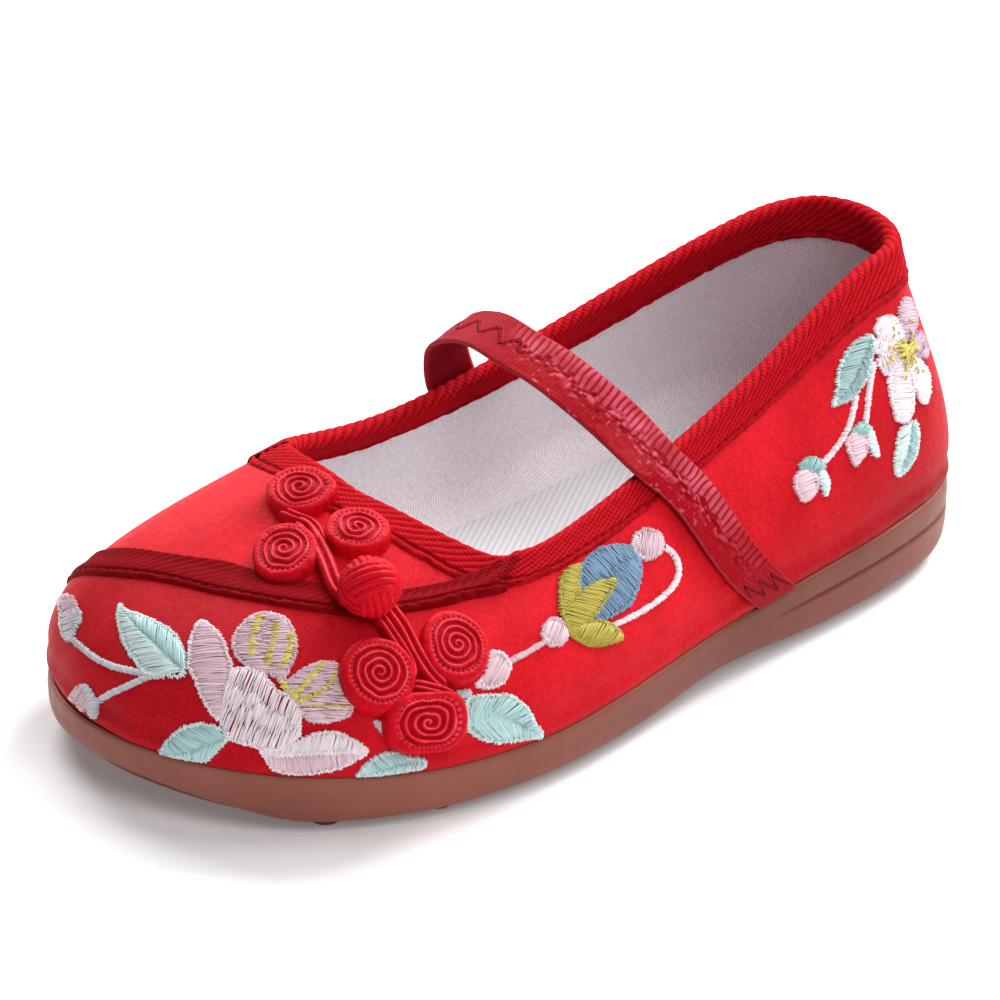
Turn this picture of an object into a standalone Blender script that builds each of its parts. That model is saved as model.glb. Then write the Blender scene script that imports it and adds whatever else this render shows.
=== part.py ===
"""Embroidered dance shoe for a child's left foot.

A hollow satin upper stands on a moulded gum rubber sole with round nubs, with a
sock board inside, an elastic band over the instep and a knotted cord fastening.
The toe points to -Y, the heel to +Y and the outer side of the foot to +X.
All sizes below are in millimetres.
"""
import math

import bmesh
import bpy
import numpy as np

MM = 0.001

# ---------------------------------------------------------------- driving sizes
LENGTH = 180.0          # heel back to toe tip
BALL_WIDTH = 74.2       # width of the upper where it meets the sole, at the ball
INSTEP_HEIGHT = 38.8    # edge of the throat above the floor
HEEL_HEIGHT = 55.0      # edge of the collar at the heel back above the floor
WALL = 2.0              # satin, stiffening and lining together
GAP = 0.3               # clearance between pieces that touch

STATIONS = 40           # steps from heel to toe on each side
RISE_STEPS = 9          # steps from the sole up to the collar
FILL_STEPS = 4          # steps across the foot on flat faces
RIM_ROUND = 0.6         # how far the collar's rounded edge stands up

SOCK_THICK = 2.0        # sock board

NUB_PITCH = 8.2         # round nubs under the sole
NUB_FOOT = 4.6          # width at the floor
NUB_ROOT = 5.6          # width at the tread
NUB_HEIGHT = 1.6
NUB_SIDES = 8

STRAP_WIDTH = 10.3      # elastic band
STRAP_THICK = 1.4
STRAP_STEPS = 48
STRAP_LIP_LIFT = 1.0    # extra clearance where the band turns over the bound collar
STRAP_TILT = 0.27       # rise of the band towards the heel, across its width

LEAD_WIDTH = 3.8        # pair of cords between the rosettes
LEAD_HEIGHT = 2.2
ROSETTE_SIDES = 20

# Sections round the foot, from the heel back along the outer side to the toe
# and home along the inner side.
#   along, wide           feather line (upper meets sole), of LENGTH and BALL_WIDTH
#   rim_along, rim_wide   collar edge, of LENGTH and BALL_WIDTH
#   rim_rise              collar edge, 0 at INSTEP_HEIGHT and 1 at HEEL_HEIGHT
#   flare, flare_reach    outward lean of the wall at the sole (deg) and its pull (mm)
#   fall, fall_reach      inward lean of the wall at the collar (deg) and its pull (mm)
SECTION_COLUMNS = ("name", "along", "wide", "rim_along", "rim_wide", "rim_rise",
                   "flare", "flare_reach", "fall", "fall_reach")
SECTIONS = (
    ("heel_back",   0.004,  0.008, 0.037, -0.005,  1.000,  6.0, 14.0,  8.0, 12.0),
    ("heel_out",    0.030,  0.256, 0.064,  0.143,  0.958,  7.3, 14.0, 12.0, 11.5),
    ("quarter_out", 0.133,  0.377, 0.125,  0.193,  0.885,  9.0, 14.0, 14.0, 12.0),
    ("waist_out",   0.444,  0.439, 0.347,  0.270,  0.247, 11.0, 11.0, 22.0, 11.0),
    ("ball_out",    0.678,  0.501, 0.583,  0.326, -0.263, 13.0, 10.6, 54.6, 13.3),
    ("toe_out",     0.867,  0.416, 0.696,  0.283, -0.317, 16.0, 12.0, 67.0, 21.8),
    ("corner_out",  0.959,  0.239, 0.727,  0.121, -0.034, 15.0, 12.8, 78.0, 26.5),
    ("toe_tip",     0.996, -0.054, 0.733,  0.000,  0.035, 15.0, 11.8, 78.0, 27.0),
    ("corner_in",   0.951, -0.344, 0.728, -0.125,  0.090, 18.0, 13.5, 79.0, 27.0),
    ("toe_in",      0.861, -0.504, 0.699, -0.283,  0.000, 19.0, 12.3, 66.5, 22.2),
    ("ball_in",     0.700, -0.499, 0.586, -0.326, -0.160, 12.0, 10.7, 54.5, 13.3),
    ("waist_in",    0.444, -0.377, 0.346, -0.272,  0.288, 11.0, 11.0, 22.0, 11.0),
    ("quarter_in",  0.133, -0.340, 0.126, -0.193,  0.935,  9.0, 14.0, 14.0, 12.0),
    ("heel_in",     0.032, -0.249, 0.060, -0.147,  1.006,  7.2, 14.0, 11.7, 11.6),
)

# Sole along its length: seat is the face under the foot, tread the underside
# between the nubs, both as heights above the floor.
SOLE_COLUMNS = ("name", "along", "seat", "tread")
SOLE = (
    ("heel_back",   0.000, 13.7, 3.0),
    ("heel_seat",   0.080, 13.7, 1.6),
    ("heel_breast", 0.270, 12.4, 1.6),
    ("waist",       0.440, 10.5, 3.0),
    ("ball_back",   0.570,  9.3, 1.6),
    ("ball",        0.690,  8.5, 1.6),
    ("toe_break",   0.790,  8.75, 1.6),
    ("toe_rise",    0.920, 10.4, 1.8),
    ("toe_tip",     1.000, 11.8, 5.8),
)

# Side of the sole from the seat down: out is measured from the feather line,
# drop is 0 at the seat and 1 at the tread, heel_cut is the groove of the heel band.
SIDE_COLUMNS = ("name", "out", "drop", "heel_cut")
SIDE = (
    ("seat_edge",   -0.25, 0.00, 0.0),
    ("shoulder",     0.30, 0.09, 0.0),
    ("band_top",     0.45, 0.33, 0.0),
    ("band_groove",  0.45, 0.39, 0.8),
    ("band_foot",    0.50, 0.45, 0.0),
    ("side",         0.40, 0.74, 0.0),
    ("round",       -0.20, 0.92, 0.0),
    ("tread_edge",  -1.60, 1.00, 0.0),
)
HEEL_BAND_END = (0.28, 0.40)    # of LENGTH: where the groove starts to fade, and ends

# Rows of nubs: first and last row, of LENGTH, and how far in from the sole's edge
# the outer nubs are
NUB_COLUMNS = ("name", "first", "last", "edge")
NUB_FIELDS = (
    ("heel",     0.050, 0.265, 7.0),
    ("ball",     0.560, 0.793, 5.6),
    ("toe",      0.839, 0.885, 7.4),
)

# Elastic band where it arches free over the instep: out from the middle, back
# towards the heel from where it crosses the outer collar, height
ARCH_COLUMNS = ("name", "out", "back", "height")
STRAP_ARCH = (
    ("near_rise",   14.8, 0.8, 41.3),
    ("near_mid",     6.2, 0.0, 45.2),
    ("crown_near",  -1.2, 0.0, 47.4),
    ("crown",       -8.2, 0.0, 48.6),
    ("crown_far",  -14.6, 0.4, 49.4),
    ("far_turn",   -20.3, 0.6, 48.2),
    ("far_loop",   -24.1, 1.2, 45.4),
    ("far_drop",   -25.1, 1.8, 42.2),
)
STRAP_FAR_BACK = 2.4        # how much nearer to the heel the band is on the inner side
STRAP_LIP_ALONG = 0.480     # of LENGTH: where the band crosses the collar
STRAP_END_ALONG = 0.364     # of LENGTH: where the band meets the sole

# Cord fastening, placed on the upper: around is 0 at the heel back and runs over
# the outer side to the toe, up is 0 at the sole and 1 at the collar.
ROSETTE_COLUMNS = ("name", "around", "up", "width", "height")
FROG_LOOP = (
    ("top_inner",  0.5205, 0.905, 10.8, 3.4),
    ("toe_side",   0.4782, 0.755, 10.2, 3.4),
    ("throat",     0.4530, 0.887, 10.3, 3.4),
)
FROG_TAIL = (
    ("toe_side",   0.4023, 0.467, 11.8, 3.4),
    ("heel_side",  0.3752, 0.607, 10.8, 3.4),
    ("foot",       0.3746, 0.278, 11.3, 3.4),
)
KNOT_COLUMNS = ("around", "up", "width", "sink")
KNOT = (0.4253, 0.714, 9.6, 0.4)

# Leads: points that each pair of cords passes, as around and up
LEAD_COLUMNS = ("name", "around", "up")
LOOP_LEAD = (
    ("in_top_inner", 0.5060, 0.865),
    ("between",      0.4647, 0.807),
    ("knot",         0.4253, 0.714),
)
TAIL_LEAD = (
    ("below_knot",   0.4085, 0.660),
    ("between",      0.3885, 0.552),
    ("in_foot",      0.3720, 0.360),
)


# -------------------------------------------------------------------- functions
def column(table, columns, name):
    """One named column of a table as an array."""
    k = columns.index(name)
    return np.array([row[k] for row in table], float)


def smooth(xs, ys, x):
    """Curve through (xs, ys) that never overshoots, at x."""
    x = np.clip(np.asarray(x, float), xs[0], xs[-1])
    h, d = np.diff(xs), np.diff(ys) / np.diff(xs)
    m = np.zeros(len(xs))
    m[0], m[-1] = d[0], d[-1]
    same = d[:-1] * d[1:] > 0
    w1, w2 = 2 * h[1:] + h[:-1], h[1:] + 2 * h[:-1]
    inner = np.zeros(len(d) - 1)
    inner[same] = ((w1 + w2)[same]
                   / (w1[same] / d[:-1][same] + w2[same] / d[1:][same]))
    m[1:-1] = inner
    k = np.clip(np.searchsorted(xs, x, side="right") - 1, 0, len(h) - 1)
    t = (x - xs[k]) / h[k]
    return ((2 * t**3 - 3 * t**2 + 1) * ys[k] + (t**3 - 2 * t**2 + t) * h[k] * m[k]
            + (-2 * t**3 + 3 * t**2) * ys[k + 1] + (t**3 - t**2) * h[k] * m[k + 1])


def ring_spline(knots, values, q):
    """Closed cubic spline through values at knots (0 to 1), at q."""
    n = len(knots)
    h = np.diff(np.append(knots, knots[0] + 1.0))
    d = (np.roll(values, -1) - values) / h
    a, b = np.zeros((n, n)), np.zeros(n)
    for i in range(n):
        a[i, i - 1] += h[i]
        a[i, i] += 2 * (h[i - 1] + h[i])
        a[i, (i + 1) % n] += h[i - 1]
        b[i] = 3 * (h[i] * d[i - 1] + h[i - 1] * d[i])
    m = np.linalg.solve(a, b)
    q = np.mod(np.asarray(q, float), 1.0)
    k = np.searchsorted(knots, q, side="right") - 1
    k = np.where(k < 0, n - 1, k)
    j = (k + 1) % n
    x = np.mod(q - knots[k], 1.0) / h[k]
    return ((2 * x**3 - 3 * x**2 + 1) * values[k] + (x**3 - 2 * x**2 + x) * h[k] * m[k]
            + (-2 * x**3 + 3 * x**2) * values[j] + (x**3 - x**2) * h[k] * m[j])


def section(name):
    return column(SECTIONS, SECTION_COLUMNS, name)


def section_knots():
    """Places of the sections round the foot, 0 to 1, from their spacing."""
    p = np.stack([section("along") * LENGTH, section("wide") * BALL_WIDTH], 1)
    step = np.linalg.norm(np.roll(p, -1, 0) - p, axis=1) ** 0.7
    return np.append(0.0, np.cumsum(step)[:-1]) / step.sum()


KNOTS = section_knots()


def around(name, u):
    return ring_spline(KNOTS, section(name), u)


def seat(s):
    """Height of the sole's upper face at s from the heel back."""
    return smooth(column(SOLE, SOLE_COLUMNS, "along") * LENGTH,
                  column(SOLE, SOLE_COLUMNS, "seat"), s)


def tread(s):
    """Height of the sole's underside at s from the heel back."""
    return smooth(column(SOLE, SOLE_COLUMNS, "along") * LENGTH,
                  column(SOLE, SOLE_COLUMNS, "tread"), s)


def feather(u):
    """Line where the upper meets the sole."""
    s = around("along", u) * LENGTH
    return np.stack([around("wide", u) * BALL_WIDTH, LENGTH / 2 - s, seat(s) + GAP], -1)


def collar(u):
    """Edge of the opening."""
    s = around("rim_along", u) * LENGTH
    z = INSTEP_HEIGHT + around("rim_rise", u) * (HEEL_HEIGHT - INSTEP_HEIGHT)
    return np.stack([around("rim_wide", u) * BALL_WIDTH, LENGTH / 2 - s, z], -1)


def wall(u, v):
    """Outer face of the upper: u round the foot, v from the sole up to the collar."""
    u, v = np.broadcast_arrays(np.asarray(u, float), np.asarray(v, float))
    f, c = feather(u), collar(u)
    inward = (c - f) * np.array([1.0, 1.0, 0.0])
    inward /= np.linalg.norm(inward, axis=-1)[..., None]
    up = np.array([0.0, 0.0, 1.0])
    flare, fall = np.radians(around("flare", u)), np.radians(around("fall", u))
    pull_low = around("flare_reach", u)[..., None] * (
        np.cos(flare)[..., None] * up - np.sin(flare)[..., None] * inward)
    pull_top = around("fall_reach", u)[..., None] * (
        np.cos(fall)[..., None] * up + np.sin(fall)[..., None] * inward)
    v = v[..., None]
    w = 1.0 - v
    return (w**3 * f + 3 * w * w * v * (f + pull_low)
            + 3 * w * v * v * (c - pull_top) + v**3 * c)


def wall_normal(u, v):
    """Outward direction of the upper's outer face."""
    e = 1e-4
    v = np.asarray(v, float)
    du = wall(u + e, v) - wall(u - e, v)
    dv = wall(u, np.minimum(v + e, 1.0)) - wall(u, np.maximum(v - e, 0.0))
    n = np.cross(dv, du)
    return n / np.linalg.norm(n, axis=-1)[..., None]


def feather_normal(u):
    """Level outward direction of the feather line."""
    e = 1e-4
    d = feather(u + e) - feather(u - e)
    n = np.stack([-d[..., 1], d[..., 0], np.zeros_like(d[..., 0])], -1)
    return n / np.linalg.norm(n, axis=-1)[..., None]


def branch(s, side):
    """Place round the foot of the feather line at s, on side 'out' or 'in'."""
    u = np.linspace(-0.1, 1.1, 6001)
    a = around("along", u) * LENGTH
    body = (u > -0.05) & (u < 0.95)
    toe = u[body][np.argmax(a[body])]
    low = (u > -0.05) & (u < 0.05)
    heel = u[low][np.argmin(a[low])]
    if side == "out":
        pick = (u >= heel) & (u <= toe)
        return np.interp(s, a[pick], u[pick])
    pick = (u >= toe) & (u <= heel + 1.0)
    return np.interp(-np.asarray(s, float), -a[pick], u[pick])


def ring_places():
    """Places round the foot, paired side to side: heel, outer side, toe, inner side."""
    a = around("along", np.linspace(0, 1, 6001)) * LENGTH
    turn = (1 - np.cos(np.pi * np.arange(STATIONS + 1) / STATIONS)) / 2
    s = a.min() + (a.max() - a.min()) * turn
    return np.concatenate([branch(s, "out"), branch(s[1:-1][::-1], "in")])


RING = ring_places()


def feather_offset(out, z):
    """Ring that runs out from the feather line by out, at heights z(s)."""
    p = feather(RING) + out * feather_normal(RING)
    p[:, 2] = z(LENGTH / 2 - p[:, 1])
    return p


def link(faces, low, high, count):
    """Quads between two closed rings that start at vertices low and high."""
    for i in range(count):
        j = (i + 1) % count
        faces.append((low + i, low + j, high + j, high + i))


def cap(points, faces, ring, z):
    """Grid across a ring that starts at vertex ring, with heights z(s)."""
    first = {}
    for i in range(1, STATIONS):
        a, b = np.array(points[ring + i]), np.array(points[ring + 2 * STATIONS - i])
        cells = [ring + i]
        for k in range(1, FILL_STEPS):
            p = a + (b - a) * k / FILL_STEPS
            p[2] = z(LENGTH / 2 - p[1])
            cells.append(len(points))
            points.append(tuple(p))
        cells.append(ring + 2 * STATIONS - i)
        first[i] = cells
    for i in range(1, STATIONS - 1):
        for k in range(FILL_STEPS):
            faces.append((first[i][k], first[i][k + 1], first[i + 1][k + 1], first[i + 1][k]))
    for k in range(FILL_STEPS):
        faces.append((ring, first[1][k + 1], first[1][k]))
        faces.append((ring + STATIONS, first[STATIONS - 1][k], first[STATIONS - 1][k + 1]))


def material(name, colour, roughness):
    m = bpy.data.materials.new(name)
    m.use_nodes = True
    b = m.node_tree.nodes["Principled BSDF"]
    b.inputs["Base Color"].default_value = (*colour, 1.0)
    b.inputs["Roughness"].default_value = roughness
    b.inputs["Metallic"].default_value = 0.0
    return m


def solid(name, points, faces, mat=None):
    """Object from points in millimetres, with its faces turned outwards."""
    mesh = bpy.data.meshes.new(name)
    mesh.from_pydata([tuple(float(c) * MM for c in p) for p in points], [], faces)
    bm = bmesh.new()
    bm.from_mesh(mesh)
    bmesh.ops.recalc_face_normals(bm, faces=bm.faces)
    bm.to_mesh(mesh)
    bm.free()
    mesh.shade_smooth()
    mesh.set_sharp_from_angle(angle=math.radians(40))
    obj = bpy.data.objects.new(name, mesh)
    bpy.context.scene.collection.objects.link(obj)
    if mat:
        mesh.materials.append(mat)
    return obj


def join(base, extras):
    """Union of base with each of extras, which stay as hidden guides."""
    for extra in extras:
        extra.hide_render = True
        extra.display_type = "WIRE"
        m = base.modifiers.new("join_" + extra.name, "BOOLEAN")
        m.operation = "UNION"
        m.solver = "EXACT"
        m.object = extra


# ----------------------------------------------------------------------- pieces
def make_outsole(mat):
    points, faces = [], []
    fade = np.array(HEEL_BAND_END) * LENGTH
    count = len(RING)
    for name, out, drop, cut in SIDE:
        p = feather(RING)
        s = LENGTH / 2 - p[:, 1]
        heel = np.clip((fade[1] - s) / (fade[1] - fade[0]), 0, 1)
        heel = heel * heel * (3 - 2 * heel)
        p = p + (out - cut * heel)[:, None] * feather_normal(RING)
        p[:, 2] = seat(s) + (tread(s) - seat(s)) * drop
        points += [tuple(q) for q in p]
    for k in range(len(SIDE) - 1):
        link(faces, k * count, (k + 1) * count, count)
    cap(points, faces, 0, seat)
    cap(points, faces, (len(SIDE) - 1) * count, tread)
    base = solid("outsole", points, faces, mat)
    join(base, [make_nubs()])
    return base


def make_nubs():
    """Rows of round nubs that follow both edges of the sole."""
    points, faces = [], []
    for name, first, last, edge in NUB_FIELDS:
        rows = int(round((last - first) * LENGTH / NUB_PITCH))
        for row in range(rows + 1):
            s = (first + (last - first) * row / rows) * LENGTH
            right = feather(branch(s, "out"))[0] - edge
            left = feather(branch(s, "in"))[0] + edge
            across = max(int(round((right - left) / NUB_PITCH)), 1)
            for k in range(across + 1):
                x = left + (right - left) * k / across
                foot = max(float(tread(s)) - NUB_HEIGHT, 0.0)
                root = float(tread(s)) + 1.2
                start = len(points)
                for radius, z in ((NUB_FOOT / 2, foot), (NUB_ROOT / 2, root)):
                    for i in range(NUB_SIDES):
                        a = 2 * math.pi * (i + 0.5) / NUB_SIDES
                        points.append((x + radius * math.cos(a),
                                       LENGTH / 2 - s + radius * math.sin(a), z))
                link(faces, start, start + NUB_SIDES, NUB_SIDES)
                faces.append(tuple(range(start, start + NUB_SIDES)))
                faces.append(tuple(range(start + NUB_SIDES, start + 2 * NUB_SIDES)))
    return solid("nub_guide", points, faces)


def make_upper(mat):
    points, faces = [], []
    count = len(RING)
    rises = np.linspace(0.0, 1.0, RISE_STEPS + 1)
    outer = [wall(RING, np.full(count, v)) for v in rises]
    inner = [outer[0] - WALL * feather_normal(RING)]
    inner[0][:, 2] = seat(LENGTH / 2 - inner[0][:, 1]) + GAP
    for v, p in list(zip(rises, outer))[1:]:
        inner.append(p - WALL * wall_normal(RING, np.full(count, v)))
    climb = outer[-1] - wall(RING, np.full(count, 0.98))
    climb /= np.linalg.norm(climb, axis=1)[:, None]
    rim = (outer[-1] + inner[-1]) / 2 + RIM_ROUND * climb
    rings = outer + [rim] + inner[::-1]
    for p in rings:
        points += [tuple(q) for q in p]
    for k in range(len(rings)):
        link(faces, k * count, ((k + 1) % len(rings)) * count, count)
    return solid("upper", points, faces, mat)


def make_insole(mat):
    points, faces = [], []
    count = len(RING)
    out = -(WALL + GAP + 0.1)
    low = feather_offset(out, lambda s: seat(s) + GAP)
    side = feather_offset(out, lambda s: seat(s) + GAP + 0.7 * SOCK_THICK)
    top = feather_offset(out - 0.6, lambda s: seat(s) + GAP + SOCK_THICK)
    for p in (low, side, top):
        points += [tuple(q) for q in p]
    link(faces, 0, count, count)
    link(faces, count, 2 * count, count)
    cap(points, faces, 0, lambda s: seat(s) + GAP)
    cap(points, faces, 2 * count, lambda s: seat(s) + GAP + SOCK_THICK)
    return solid("insole", points, faces, mat)


def collar_branch(s, side):
    """Place round the foot where the collar is s from the heel back."""
    u = np.linspace(0.12, 0.36, 2001) if side == "out" else np.linspace(0.64, 0.88, 2001)
    a = around("rim_along", u) * LENGTH
    order = np.argsort(a)
    return float(np.interp(s, a[order], u[order]))


def strap_path():
    """Middle of the band with its outward directions, from the outer side over to
    the inner side."""
    lip, end = STRAP_LIP_ALONG * LENGTH, STRAP_END_ALONG * LENGTH
    v = np.linspace(0.012, 1.0, 7)
    turn = np.clip((v - 0.6) / 0.4, 0, 1)
    lift = (GAP + STRAP_THICK / 2 + STRAP_LIP_LIFT * turn * turn * (3 - 2 * turn))[:, None]
    knots, alongs = [], []
    for side in ("out", "in"):
        back = STRAP_FAR_BACK if side == "in" else 0.0
        u_end, u_lip = float(branch(end - back, side)), collar_branch(lip - back, side)
        if side == "in":
            u_end = u_end % 1.0
        u = u_end + (u_lip - u_end) * v
        p = wall(u, v) + lift * wall_normal(u, v)
        d = wall(u + 1e-4, v) - wall(u - 1e-4, v)
        d *= np.sign(d[:, 1:2]) / np.linalg.norm(d, axis=1)[:, None]
        knots.append(p if side == "out" else p[::-1])
        alongs.append(d if side == "out" else d[::-1])
    arch = np.array([(x, LENGTH / 2 - lip + back, z) for name, x, back, z in STRAP_ARCH])
    path = np.vstack([knots[0], arch, knots[1]])
    # smooth parameter along the band
    t = np.append(0.0, np.cumsum(np.linalg.norm(np.diff(path, axis=0), axis=1)))
    q = np.linspace(0, t[-1], STRAP_STEPS)
    centre = np.stack([natural_spline(t, path[:, k], q) for k in range(3)], 1)
    tangent = np.gradient(centre, axis=0)
    tangent /= np.linalg.norm(tangent, axis=1)[:, None]
    # width direction: along the wall at both ends, so that the band ends in line
    # with the sole, and level with a tilt on the arch
    level = np.array([0.0, 1.0, STRAP_TILT]) / math.hypot(1.0, STRAP_TILT)
    width = np.vstack([alongs[0], np.tile(level, (len(arch), 1)), alongs[1]])
    width = np.stack([np.interp(q, t, width[:, k]) for k in range(3)], 1)
    width /= np.linalg.norm(width, axis=1)[:, None]
    normal = np.cross(tangent, width)
    normal /= np.linalg.norm(normal, axis=1)[:, None]
    if normal[len(normal) // 2, 2] < 0:
        normal = -normal
    return centre, width, normal


def natural_spline(t, y, q):
    """Cubic spline through (t, y) with free ends, at q."""
    n, h = len(t), np.diff(t)
    a, b = np.zeros((n, n)), np.zeros(n)
    a[0, 0] = a[-1, -1] = 1.0
    for i in range(1, n - 1):
        a[i, i - 1], a[i, i], a[i, i + 1] = h[i - 1], 2 * (h[i - 1] + h[i]), h[i]
        b[i] = 6 * ((y[i + 1] - y[i]) / h[i] - (y[i] - y[i - 1]) / h[i - 1])
    m = np.linalg.solve(a, b)
    k = np.clip(np.searchsorted(t, q, side="right") - 1, 0, n - 2)
    l, r = t[k + 1] - q, q - t[k]
    return ((m[k] * l**3 + m[k + 1] * r**3) / (6 * h[k])
            + (y[k] / h[k] - m[k] * h[k] / 6) * l
            + (y[k + 1] / h[k] - m[k + 1] * h[k] / 6) * r)


def make_strap(mat):
    centre, width, normal = strap_path()
    w, h = STRAP_WIDTH / 2, STRAP_THICK / 2
    profile = ((-w, 0.0), (-w + 0.5, h), (0.0, h), (w - 0.5, h),
               (w, 0.0), (w - 0.5, -h), (0.0, -h), (-w + 0.5, -h))
    points, faces = [], []
    for c, a, n in zip(centre, width, normal):
        points += [tuple(c + x * a + y * n) for x, y in profile]
    size = len(profile)
    for k in range(len(centre) - 1):
        link(faces, k * size, (k + 1) * size, size)
    faces.append(tuple(range(size)))
    faces.append(tuple(range((len(centre) - 1) * size, len(centre) * size)))
    return solid("strap", points, faces, mat)


def surface_frame(u, v):
    """Point on the upper with its outward direction and two directions along it."""
    p, n = wall(u, v), wall_normal(np.asarray(u), np.asarray(v))
    side = np.cross(n, (0.0, 0.0, 1.0))
    side /= np.linalg.norm(side)
    return p, n, side, np.cross(n, side)


def wall_samples():
    """Points spread over the upper's outer face, to keep pieces clear of it."""
    u, v = np.meshgrid(np.arange(900) / 900, np.linspace(0, 1, 91), indexing="ij")
    return wall(u.ravel(), v.ravel())


SAMPLES = wall_samples()


def crown(p, n, reach):
    """How far the upper rises over the plane at p across n, within reach of p."""
    d = SAMPLES - p
    h = d @ n
    close = (np.linalg.norm(d - h[:, None] * n, axis=1) < reach) & (np.abs(h) < 8.0)
    return max(float(h[close].max()), 0.0) if close.any() else 0.0


def make_rosette(name, u, v, width, height, mat=None):
    """Coil of cord as a rounded puck that lies on the upper."""
    p, n, a, b = surface_frame(u, v)
    r = width / 2
    low = crown(p, n, r) + GAP
    profile = ((r - 0.6, low), (r, low + 0.8), (r, height - 0.7),
               (r - 0.7, height), (r * 0.45, height + 0.15))
    points, faces = [], []
    for radius, z in profile:
        for i in range(ROSETTE_SIDES):
            t = 2 * math.pi * i / ROSETTE_SIDES
            points.append(tuple(p + radius * (math.cos(t) * a + math.sin(t) * b) + z * n))
    for k in range(len(profile) - 1):
        link(faces, k * ROSETTE_SIDES, (k + 1) * ROSETTE_SIDES, ROSETTE_SIDES)
    faces.append(tuple(range(ROSETTE_SIDES)))
    last = (len(profile) - 1) * ROSETTE_SIDES
    faces.append(tuple(range(last, last + ROSETTE_SIDES)))
    return solid(name, points, faces, mat)


def make_lead(name, rows, steps=10):
    """Pair of cords that follows the upper through the rows' places."""
    t = np.arange(len(rows), dtype=float)
    q = np.linspace(0, len(rows) - 1, steps)
    u = natural_spline(t, column(rows, LEAD_COLUMNS, "around"), q)
    v = natural_spline(t, column(rows, LEAD_COLUMNS, "up"), q)
    p, n = wall(u, v), wall_normal(u, v)
    d = np.gradient(p, axis=0)
    d /= np.linalg.norm(d, axis=1)[:, None]
    a = np.cross(d, n)
    w, h = LEAD_WIDTH / 2, LEAD_HEIGHT
    low = GAP + 0.1
    profile = ((-w + 0.4, low), (-w, low + 0.7), (-w + 0.4, h), (0.0, h - 0.3),
               (w - 0.4, h), (w, low + 0.7), (w - 0.4, low))
    points, faces = [], []
    for k in range(steps):
        lift = crown(p[k], n[k], w + 0.5)
        points += [tuple(p[k] + x * a[k] + (z + lift) * n[k]) for x, z in profile]
    size = len(profile)
    for k in range(steps - 1):
        link(faces, k * size, (k + 1) * size, size)
    faces.append(tuple(range(size)))
    faces.append(tuple(range((steps - 1) * size, steps * size)))
    return solid(name, points, faces)


def make_knot(name):
    """Ball knot as a slightly flattened ball that sits on the upper."""
    u, v, width, sink = KNOT
    p, n, a, b = surface_frame(u, v)
    r = width / 2
    rings, sides = 7, 14
    points, faces = [], []
    middle = p + (r - sink / 2 + GAP + crown(p, n, r / 2)) * n
    for k in range(1, rings):
        e = math.pi * k / rings - math.pi / 2
        for i in range(sides):
            t = 2 * math.pi * i / sides
            points.append(tuple(middle + r * math.cos(e) * (math.cos(t) * a + math.sin(t) * b)
                                + (r - sink / 2) * math.sin(e) * n))
    for k in range(rings - 2):
        link(faces, k * sides, (k + 1) * sides, sides)
    for pole, ring in ((-1.0, 0), (1.0, (rings - 2) * sides)):
        top = len(points)
        points.append(tuple(middle + pole * (r - sink / 2) * n))
        for i in range(sides):
            faces.append((ring + i, ring + (i + 1) % sides, top))
    return solid(name, points, faces)


def make_frog(name, rosettes, lead, mat, knot=False):
    pieces = []
    base = None
    for label, u, v, width, height in rosettes:
        if base is None:
            base = make_rosette(name, u, v, width, height, mat)
        else:
            pieces.append(make_rosette(name + "_" + label + "_guide", u, v, width, height))
    pieces.insert(0, make_lead(name + "_lead_guide", lead))
    if knot:
        pieces.append(make_knot(name + "_knot_guide"))
    join(base, pieces)
    return base


def centre_on_floor(objects):
    """Move all pieces so that the shoe's box is centred over the origin, on z = 0."""
    bpy.context.view_layer.update()
    deps = bpy.context.evaluated_depsgraph_get()
    low, high = np.full(3, 1e9), np.full(3, -1e9)
    for obj in objects:
        mesh = obj.evaluated_get(deps).to_mesh()
        co = np.empty(len(mesh.vertices) * 3)
        mesh.vertices.foreach_get("co", co)
        co = co.reshape(-1, 3)
        low, high = np.minimum(low, co.min(0)), np.maximum(high, co.max(0))
    shift = -(low + high) / 2
    shift[2] = -low[2]
    for obj in bpy.data.objects:
        if obj.type == "MESH":
            for vert in obj.data.vertices:
                vert.co.x += shift[0]
                vert.co.y += shift[1]
                vert.co.z += shift[2]


def main():
    for obj in list(bpy.data.objects):
        bpy.data.objects.remove(obj, do_unlink=True)
    made = [
        make_outsole(material("gum_rubber", (0.27, 0.10, 0.065), 0.45)),
        make_upper(material("red_satin", (0.78, 0.03, 0.045), 0.42)),
        make_insole(material("white_twill", (0.74, 0.72, 0.75), 0.85)),
        make_strap(material("red_elastic", (0.46, 0.015, 0.03), 0.4)),
        make_frog("frog_loop", FROG_LOOP, LOOP_LEAD,
                  material("red_cord", (0.70, 0.02, 0.035), 0.45), knot=True),
        make_frog("frog_tail", FROG_TAIL, TAIL_LEAD,
                  material("red_cord_tail", (0.70, 0.02, 0.035), 0.45)),
    ]
    centre_on_floor(made)


main()
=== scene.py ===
"""Embroidered dance shoe for a child's left foot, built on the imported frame.

Shapes are worked out in millimetres in the shoe's own frame (toe to -Y, heel to
+Y, outer side to +X, floor at z = 0) and turned into metres when a mesh is made.
"""
import math

import bpy
import numpy as np
from mathutils import Matrix
from mathutils.kdtree import KDTree


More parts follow.
